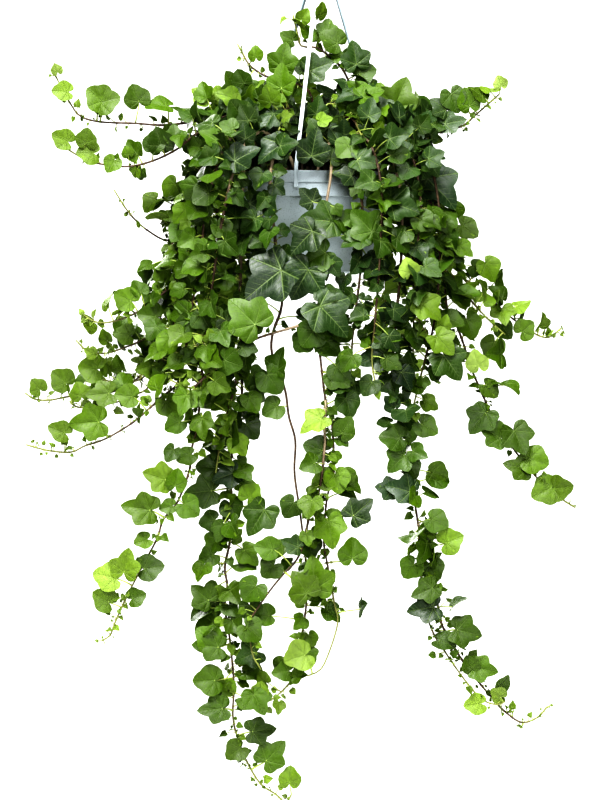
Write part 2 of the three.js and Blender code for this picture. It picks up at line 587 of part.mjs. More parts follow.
// The moulded hook: a round boss, a shank that leans out, and a crown bent round the origin.
function hook() {
  const middle = HOOK.inner + HOOK.rod / 2;
  const points = [
    new THREE.Vector3(0, 0, BOSS.top - 2),
    new THREE.Vector3(0.15 * middle, 0, BOSS.top + 6),
    new THREE.Vector3(0.8 * middle, 0, BOSS.top + 22),
  ];
  const bends = 8;
  for (let i = 0; i <= bends; i++) {
    const angle = (i / bends) * Math.PI;
    points.push(new THREE.Vector3(
      middle * Math.cos(angle), 0, -HOOK.inner + middle * Math.sin(angle),
    ));
  }
  points.push(new THREE.Vector3(-middle - 1, 0, -HOOK.inner - HOOK.tip));
  const radii = points.map(() => HOOK.rod / 2);
  const rod = solidOf(taperedTube(points, radii, 6));
  const boss = solidOf(turned([
    [0, BOSS.bottom], [BOSS.radius, BOSS.bottom], [BOSS.radius, BOSS.bottom + 5],
    [HOOK.rod, BOSS.top], [0, BOSS.top],
  ], 12));
  return boss.add(rod);
}

// A strip from under the boss to the rim, where it turns down outside the rim band and ends in
// a catch under the band. It is drawn from the side, then given its width.
function strap(azimuth) {
  const foot = aroundPot(RIM_RADIUS, azimuth, RIM_Z);
  const reach = Math.hypot(foot.x, foot.y) + GAP;
  const top = BOSS.bottom - GAP;
  const half = STRAP.width / 2;
  const out = reach + STRAP.thick;
  const low = RIM_Z - STRAP.reach;
  const side = new THREE.Shape([
    new THREE.Vector2(4.2, top), new THREE.Vector2(4.2 + STRAP.thick + 0.3, top),
    new THREE.Vector2(out, RIM_Z + 2), new THREE.Vector2(out, low + 1),
    new THREE.Vector2(out - 0.8, low), new THREE.Vector2(reach - 1.2, low),
    new THREE.Vector2(reach - 1.2, RIM_Z - RIM_BAND - 2.4),
    new THREE.Vector2(reach, RIM_Z - RIM_BAND - 1.6), new THREE.Vector2(reach, RIM_Z + 1.5),
  ]);
  const strip = new THREE.ExtrudeGeometry(side, {
    depth: STRAP.width, bevelEnabled: false, curveSegments: 1,
  });
  strip.translate(0, 0, -half).rotateX(Math.PI / 2);
  return strip.rotateZ(Math.atan2(foot.y, foot.x));
}

// Routes of stems

// Closely spaced points along a smooth curve through the route, with the length up to each.
function traced(route) {
  const corners = route.map((point) => new THREE.Vector3(...point));
  const curve = new THREE.CatmullRomCurve3(corners, false, 'catmullrom', 0.5);
  const points = curve.getPoints(8 * (corners.length - 1));
  const lengths = [0];
  for (let i = 1; i < points.length; i++) {
    lengths.push(lengths[i - 1] + points[i].distanceTo(points[i - 1]));
  }
  return { points, lengths, total: lengths[lengths.length - 1] };
}

function placeAt(trace, length) {
  let i = 1;
  while (i < trace.lengths.length - 1 && trace.lengths[i] < length) i++;
  const share = (length - trace.lengths[i - 1]) / (trace.lengths[i] - trace.lengths[i - 1]);
  const point = trace.points[i - 1].clone().lerp(trace.points[i], share);
  const tangent = trace.points[i].clone().sub(trace.points[i - 1]).normalize();
  return { point, tangent };
}

// The fewest of the points that keep a line through them within the tolerance.
function simplified(points, tolerance) {
  const chord = new THREE.Line3(points[0], points[points.length - 1]);
  const nearest = new THREE.Vector3();
  let worst = 0;
  let split = 0;
  points.forEach((point, i) => {
    chord.closestPointToPoint(point, true, nearest);
    const distance = nearest.distanceTo(point);
    if (distance > worst) {
      worst = distance;
      split = i;
    }
  });
  if (worst <= tolerance) return [points[0], points[points.length - 1]];
  const before = simplified(points.slice(0, split + 1), tolerance);
  return [...before.slice(0, -1), ...simplified(points.slice(split), tolerance)];
}

function crownStem(index) {
  const random = randomStream(500 + index);
  const azimuth = CROWN.first + (360 / CROWN.count) * index;
  const reach = CROWN.reach * (0.9 + 0.25 * random());
  const lift = 0.88 + 0.24 * random();
  const sway = 16 * (random() - 0.5);
  const route = [aroundPot(CROWN.root, azimuth, SOIL_Z).toArray()];
  for (const [share, height] of CROWN.profile) {
    route.push(aroundPot(reach * share, azimuth + sway * share, SOIL_Z + height * lift).toArray());
  }
  return { name: `crown_${index + 1}`, size: CROWN.size, spacing: CROWN.spacing, routes: [route] };
}

function backStem(index) {
  const random = randomStream(700 + index);
  const azimuth = BACK.azimuths[index];
  const reach = BACK.reach * (0.92 + 0.16 * random());
  const sway = 14 * (random() - 0.5);
  const low = RIM_Z - BACK.drops[index];
  const route = [
    aroundPot(BACK.roots[index % 2], azimuth, SOIL_Z),
    aroundPot(0.7 * reach, azimuth, SOIL_Z + 50 + 10 * (index % 2)),
    aroundPot(0.93 * reach, azimuth, RIM_Z - 8),
    aroundPot(reach, azimuth + 0.4 * sway, mix(RIM_Z - 8, low, 0.45)),
    aroundPot(0.97 * reach, azimuth + sway, low),
  ];
  return {
    name: `back_${index + 1}`, size: BACK.size, spacing: BACK.spacing,
    routes: [route.map((point) => point.toArray())],
  };
}

// Leaves

// The way a leaf at a spot on a stem faces: outwards, upwards where the stem runs level in the
// crown, and to the front where it can be seen from there, each time with a turn of its own.
function facingAt(point, level, turn) {
  const away = new THREE.Vector3(point.x - POT_X, point.y, 0);
  const spread = Math.min(1, away.length() / 110);
  const toFront = clamp(0.5 - point.y / 80, -1, 1);
  return away.normalize().multiplyScalar(0.35 * spread)
    .addScaledVector(UP, (0.85 - 0.4 * spread) * (1 - 0.6 * level * spread))
    .add(new THREE.Vector3(0, -0.55 * toFront, 0))
    .addScaledVector(turn, 1.3)
    .normalize();
}

// The leaves of one route in order, from numbers drawn in a fixed order, by turns on one side
// of the stem and the other. A leaf has a base where its stalk ends, a direction along its
// midrib and one that it faces.
function leavesAlong(stem, routeIndex, seed) {
  const random = randomStream(seed);
  const route = stem.routes[routeIndex];
  const trace = traced(route);
  const bare = (stem.bare ?? []).filter(([index]) => index === routeIndex);
  const budsFrom = stem.budsFrom?.[routeIndex] ?? 1;
  const leaves = [];
  let length = route[0][2] === SOIL_Z ? FIRST_LEAF : FIRST_SIDE_LEAF;
  while (length < trace.total - 1) {
    const draw = Array.from({ length: 12 }, random);
    const { point, tangent } = placeAt(trace, length);
    const share = length / trace.total;
    const tipShrink = clamp((trace.total - length) / 70 + 0.4, 0.4, 1);
    length += mix(...stem.spacing, share) * (0.75 + 0.5 * draw[9]);
    if (bare.some(([, low, high]) => low < point.z && point.z < high)) continue;

    const vigour = draw[0] < 0.25 ? 0.45 + draw[0] : 0.72 + 0.5 * draw[0];
    const bud = share > budsFrom;
    const size = mix(...stem.size, share) * vigour * tipShrink * (bud ? BUD_SHARE : 1);
    const turn = new THREE.Vector3(draw[1] - 0.5, draw[2] - 0.5, draw[3] - 0.5);
    const wander = new THREE.Vector3(draw[10] - 0.5, draw[11] - 0.5, draw[6] - 0.5);
    const level = Math.sqrt(1 - tangent.z * tangent.z);
    const facing = facingAt(point, level, turn);

    const side = (0.35 + 0.5 * draw[7]) * (leaves.length % 2 ? 1 : -1);
    const stalk = new THREE.Vector3().crossVectors(tangent, facing).normalize()
      .multiplyScalar(side)
      .addScaledVector(UP, 0.95 * level)
      .addScaledVector(facing, 0.45)
      .addScaledVector(tangent, 0.25)
      .addScaledVector(turn, 0.4)
      .normalize();
    const along = stalk.clone().multiplyScalar(0.9)
      .addScaledVector(UP, -(0.35 + 0.4 * draw[4]) * (1 - 0.8 * level))
      .add(wander);
    along.addScaledVector(facing, -0.75 * along.dot(facing)).normalize();
    facing.addScaledVector(along, -facing.dot(along)).normalize();
    stalk.addScaledVector(along, 0.35).normalize();

    let outline = draw[2] > 0.45 ? 'broad' : 'three';
    if (size > 28 && draw[6] < 0.5) outline = 'five';
    if (size < 18) outline = 'young';
    const reach = clamp(size * (0.45 + 0.8 * draw[5]), 6, 30);
    leaves.push({
      base: point.addScaledVector(stalk, reach),
      along, facing, size, outline, bud,
      fold: 0.1 + 0.28 * draw[7],
      droop: 0.04 + 0.2 * draw[8],
    });
  }
  return leaves;
}

// The model's share of a route's leaves: its last one, the large ones and some of the others.
function isKept(leaf, index, leaves) {
  if (index === leaves.length - 1) return true;
  return !leaf.bud && (leaf.size > LARGE_LEAF || index % KEPT_EVERY === 0);
}

function placedLeaf([, base, apex, facing]) {
  const start = new THREE.Vector3(...base);
  const along = new THREE.Vector3(...apex).sub(start);
  const size = along.length();
  along.normalize();
  const face = new THREE.Vector3(...facing);
  face.addScaledVector(along, -face.dot(along)).normalize();
  const outline = size > 30 ? 'five' : 'broad';
  return { base: start, along, facing: face, size, outline, fold: 0.2, droop: 0.1 };
}

// True where a leaf would fill a gap in the plant, or hide one of the placed leaves.
function isInTheWay(leaf, placed) {
  const middle = leaf.base.clone().addScaledVector(leaf.along, 0.45 * leaf.size);
  const margin = 0.3 * leaf.size;
  const fills = GAPS.some(([west, east, bottom, top, back]) => (
    middle.x > west - margin && middle.x < east + margin && middle.y < back
    && middle.z > bottom - margin && middle.z < top + margin
  ));
  return fills || placed.some((other) => {
    const spot = other.base.clone().addScaledVector(other.along, 0.5 * other.size);
    const aside = Math.hypot(middle.x - spot.x, middle.z - spot.z);
    return middle.y < spot.y + 4 && aside < 0.42 * other.size + margin;
  });
}

// True where a leaf would pass through the pot or stand in the way of a strap.
function isBlocked(leaf) {
  const tests = [0, 0.5, 1].map(
    (share) => leaf.base.clone().addScaledVector(leaf.along, share * leaf.size),
  );
  return tests.some((point) => {
    const radius = Math.hypot(point.x - POT_X, point.y);
    if (point.z < RIM_Z + 4 && point.z > RIM_Z - POT_HEIGHT - 4 && radius < RIM_RADIUS + 5) {
      return true;
    }
    return STRAP.azimuths.some((azimuth) => {
      const foot = aroundPot(RIM_RADIUS, azimuth, RIM_Z);
      const line = new THREE.Line3(new THREE.Vector3(0, 0, BOSS.bottom), foot);
      const nearest = line.closestPointToPoint(point, true, new THREE.Vector3());
      return nearest.distanceTo(point) < 6;
    });
  });
}

// A folded, drooping blade of even thickness with its stalk, as one closed solid. The blade
// ends at the stalk in three corners, two above and one below, which are also the stalk's.
function leafSolid(leaf, root, grow) {
  const { base, along, facing, fold, droop } = leaf;
  const size = leaf.size + 2 * grow;
  const across = new THREE.Vector3().crossVectors(along, facing).normalize();
  const thickness = BLADE_THICKNESS + 2 * grow;
  const halfStalk = PETIOLE_WIDTH / 2 + grow;
  const place = (x, y, lift) => {
    const bend = size * droop * ((y / size) ** 2 + 0.5 * (x / size) ** 2);
    const height = fold * Math.abs(x) - bend + lift + grow;
    return base.clone()
      .addScaledVector(across, x)
      .addScaledVector(along, y)
      .addScaledVector(facing, height);
  };

  const half = HALF_OUTLINES[leaf.outline].map(([x, y]) => [x * size, y * size]);
  const edge = [
    ...half, [0, size], ...half.slice().reverse().map(([x, y]) => [-x, y]),
  ];
  const corners = [];
  const add = (point) => corners.push(point) - 1;

  const baseRight = add(place(halfStalk, 0, 0));
  const baseLeft = add(place(-halfStalk, 0, 0));
  const baseBelow = add(place(0, 0, -thickness));
  const above = edge.map(([x, y]) => add(place(x, y, 0)));
  const below = edge.map(([x, y]) => add(place(x, y, -thickness)));
  const apex = half.length;

  const faces = [];
  for (let i = 0; i < edge.length - 1; i++) {
    faces.push([i < apex ? baseRight : baseLeft, above[i], above[i + 1]]);
    faces.push([baseBelow, below[i + 1], below[i]]);
    faces.push([above[i], below[i], below[i + 1]], [above[i], below[i + 1], above[i + 1]]);
  }
  faces.push([baseRight, above[apex], baseLeft]);
  const lastEdge = edge.length - 1;
  faces.push([baseRight, baseBelow, below[0]], [baseRight, below[0], above[0]]);
  faces.push([baseLeft, above[lastEdge], below[lastEdge]], [baseLeft, below[lastEdge], baseBelow]);

  const toRoot = root.clone().sub(base).addScaledVector(facing, 0.4 * thickness);
  const rootRight = add(corners[baseRight].clone().add(toRoot));
  const rootLeft = add(corners[baseLeft].clone().add(toRoot));
  const rootBelow = add(corners[baseBelow].clone().add(toRoot));
  faces.push([baseRight, baseLeft, rootLeft], [baseRight, rootLeft, rootRight]);
  faces.push([baseLeft, baseBelow, rootBelow], [baseLeft, rootBelow, rootLeft]);
  faces.push([baseBelow, baseRight, rootRight], [baseBelow, rootRight, rootBelow]);
  faces.push([rootRight, rootLeft, rootBelow]);

  return new wasm.Manifold(new wasm.Mesh({
    numProp: 3,
    vertProperties: new Float32Array(corners.flatMap((corner) => corner.toArray())),
    triVerts: new Uint32Array(faces.flat()),
  }));
}

// Plant

function boxOf(solid) {
  const { min, max } = solid.boundingBox();
  return new THREE.Box3(new THREE.Vector3(...min), new THREE.Vector3(...max));
}

// The faceted stem of one route, and the points it runs through.
function stemPiece(route) {
  const trace = traced(route);
  const line = simplified(trace.points, STEM_TOLERANCE);
  const rooted = route[0][2] === SOIL_Z;
  if (rooted) line.unshift(line[0].clone().setZ(SOIL_Z - ROOT_DEPTH));
  const footRadius = rooted ? STEM_FOOT_RADIUS : 0.8 * STEM_FOOT_RADIUS;
  const radii = line.map((_, i) => mix(footRadius, STEM_TIP_RADIUS, i / (line.length - 1)));
  return { solid: solidOf(taperedTube(line, radii, 3)), line };
}

// Where a leaf's stalk is sunk: the spot on the faceted stems nearest to the leaf's base.
function rootOf(leaf, pieces) {
  let root = null;
  let least = Infinity;
  for (const { line } of pieces) {
    const end = line[line.length - 1];
    for (let i = 0; i < line.length - 1; i++) {
      const nearest = new THREE.Line3(line[i], line[i + 1])
        .closestPointToPoint(leaf.base, true, new THREE.Vector3());
      const tooFar = TIP_CLEARANCE - nearest.distanceTo(end);
      if (tooFar > 0) nearest.add(line[i].clone().sub(line[i + 1]).setLength(tooFar));
      const distance = nearest.distanceTo(leaf.base);
      if (distance < least) {
        least = distance;
        root = nearest;
      }
    }
  }
  return root;
}

function plant(obstacles) {
  const stems = [
    ...STEMS,
    ...Array.from({ length: CROWN.count }, (_, index) => crownStem(index)),
    ...BACK.azimuths.map((_, index) => backStem(index)),
  ];
  const grown = stems.map((stem) => {
    const pieces = stem.routes.map(stemPiece);
    return { stem, pieces, solid: pieces.map((piece) => piece.solid).reduce((a, b) => a.add(b)) };
  });

  const placed = PLACED_LEAVES.map((entry) => ({
    leaf: placedLeaf(entry), growth: grown.find(({ stem }) => stem.name === entry[0]),
  }));
  const spots = placed.map(({ leaf }) => leaf);
  const wanted = [];
  grown.forEach((growth, stemIndex) => {
    growth.stem.routes.forEach((_, routeIndex) => {
      const leaves = leavesAlong(growth.stem, routeIndex, 10 * stemIndex + routeIndex + 1);
      leaves.filter(isKept).forEach((leaf) => wanted.push({ leaf, growth }));
    });
  });
  const open = wanted.filter(({ leaf }) => !isInTheWay(leaf, spots));
  open.sort((a, b) => b.leaf.size - a.leaf.size);

  const taken = obstacles.map((solid) => ({ solid, box: boxOf(solid) }));
  grown.forEach((growth) => growth.pieces.forEach(({ solid }) => {
    taken.push({ solid, box: boxOf(solid), owner: growth });
  }));
  for (const { leaf, growth } of [...placed, ...open]) {
    if (isBlocked(leaf)) continue;
    const root = rootOf(leaf, growth.pieces);
    const probe = leafSolid(leaf, root, LEAF_CLEARANCE);
    const probeBox = boxOf(probe);
    const clashes = taken.some(({ solid, box, owner }) => (
      owner !== growth && box.intersectsBox(probeBox) && !probe.intersect(solid).isEmpty()
    ));
    if (clashes) continue;
    const solid = leafSolid(leaf, root, 0);
    growth.solid = growth.solid.add(solid);
    taken.push({ solid, box: boxOf(solid) });
  }
  return grown;
}

const potSolid = pot();
const hookSolid = hook();
const straps = STRAP.azimuths.map(strap);
const growths = plant([potSolid, hookSolid, ...straps.map(solidOf)]);
const roots = growths.map(({ stem }) => new THREE.Vector3(...stem.routes[0][0]));

const ivy = new THREE.Group();
ivy.name = 'potted_english_ivy';
ivy.add(meshOf('pot', geometryOf(potSolid), COLOUR.pot, 0.45));
ivy.add(meshOf('soil', geometryOf(soil(roots)), COLOUR.soil, 0.95));
ivy.add(meshOf('hook', geometryOf(hookSolid), COLOUR.hook, 0.4));
straps.forEach((geometry, i) => {
  ivy.add(meshOf(`strap_${i + 1}`, geometry, COLOUR.strap, 0.4));
});
for (const { stem, solid } of growths) {
  ivy.add(meshOf(stem.name, geometryOf(wholeBody(solid)), COLOUR.leaf, 0.5));
}

export default ivy;
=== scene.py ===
"""The looks of the English ivy in its hanging pot.

The stems follow the routes of the model's own stems, and the same rule sets each leaf on them, so
the fine leaves lie where the model's plainer ones do, with the rest of the foliage between them.
The tables and the growing rule are in millimetres; MM takes them to metres when a mesh is made.
"""

import math

import bmesh
import bpy
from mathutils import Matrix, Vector, noise
import numpy as np


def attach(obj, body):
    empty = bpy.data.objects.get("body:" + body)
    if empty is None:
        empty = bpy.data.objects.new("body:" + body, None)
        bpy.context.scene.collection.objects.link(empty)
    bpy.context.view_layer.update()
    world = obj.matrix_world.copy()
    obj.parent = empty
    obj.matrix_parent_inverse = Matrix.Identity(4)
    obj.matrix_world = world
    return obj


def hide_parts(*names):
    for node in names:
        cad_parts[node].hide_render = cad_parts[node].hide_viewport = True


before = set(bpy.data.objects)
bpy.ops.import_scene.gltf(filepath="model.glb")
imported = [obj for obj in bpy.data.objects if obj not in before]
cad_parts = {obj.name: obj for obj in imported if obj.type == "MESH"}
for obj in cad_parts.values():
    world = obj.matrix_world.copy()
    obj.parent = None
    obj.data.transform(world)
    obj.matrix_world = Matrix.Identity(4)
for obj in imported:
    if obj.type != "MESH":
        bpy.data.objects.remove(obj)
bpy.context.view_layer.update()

MM = 0.001

# The pot and the soil, as in the model
POT_X = -12
RIM_Z = -326
POT_HEIGHT = 125
RIM_RADIUS = 99
RIM_BAND = 15
SHOULDER_RADIUS = 96.4
SHOULDER_BAND = 32
BODY_RADIUS = 93.6
BASE_RADIUS = 70
WALL = 1.8
FLOOR = 2.4
DRAIN_HOLE = {"radius": 5, "circle": 46, "count": 5}
GAP = 0.4
SOIL_Z = -343
ROOT_DEPTH = 22.5

# The hanger, as in the model
HOOK = {"rod": 4, "inner": 9, "tip": 10}
BOSS = {"radius": 9, "top": -48, "bottom": -58}
STRAP = {"width": 5, "thick": 1.8, "reach": 21}
STRAP_AZIMUTHS = (-11, 109, -131)

# Stems
STEM_FOOT_RADIUS = 2.5
STEM_TIP_RADIUS = 1.0
SHOOT_FOOT_SHARE = 0.8  # a side shoot's foot, as a share of a rooted stem's
RING_STEP = 7.0  # between the rings of points along a stem
LEAST_RING_STEP = 1.2
SWELLING = 1.6  # how far the swelling at a leaf reaches to either side
OUT_OF_REACH = -99.0  # where the swelling of a stem without leaves would be
FIRST_LEAF = 34  # the bare length at the foot of a rooted stem
FIRST_SHOOT_LEAF = 12  # and at the foot of a side shoot
SHRINKING_LENGTH = 70  # at the tip of a stem, where its leaves get smaller
PALING_LENGTH = 110  # at the tip of a stem, where its leaves get paler

# Leaves
STALK_LENGTHS = (6, 30)  # the shortest and the longest
BUD_SHARE = 0.45  # a bud's size, as a share of what the leaf would have there
SMALL_LEAF_CHANCES = (0.9, 0.6, 0.2)  # of a first, second and third small leaf beside a stalk
YOUNG_LEAF = 14  # shorter blades have the outline of a young leaf
SMALL_LEAF = 20  # shorter blades have plainer stalks
LARGE_LEAF = 28  # longer blades can have five lobes
BLADE_SHARE = 0.94  # length of the finished blade, as a share of the rule's
BLADE_THICKNESS = 0.6
MARGIN_THICKNESS = 0.3

# Where leaves can't be: this near the rim, the pot's ends and the straps, or further to the back
RIM_CLEARANCE = 5
END_CLEARANCE = 4
STRAP_CLEARANCE = 6
FURTHEST_BACK = 183

# The dome of the plant: the radius outside which leaves face outwards, and the dense inside it, where
# leaves get painted shade
CROWN_RADIUS = 110
PAINTED_SHADE_RADIUS = 135
PAINTED_SHADE_HEIGHT = 95
PAINTED_SHADE_Z = -300

# The materials of a leafy piece, in their order
BLADE, STALK, STEM = range(3)

# Crumbs on the soil, and the seeds of the random draws
CRUMBS = 420
CROWN_SEED = 500
BACK_SEED = 700
LOOKS_SEED = 9000
SOIL_SEED = 41


def stem_of(name, size, spacing, *routes, buds_from=None, bare=()):
    """A stem as the growing rule reads it."""
    return {"name": name, "size": size, "spacing": spacing, "routes": routes,
            "buds_from": buds_from or {}, "bare": bare}


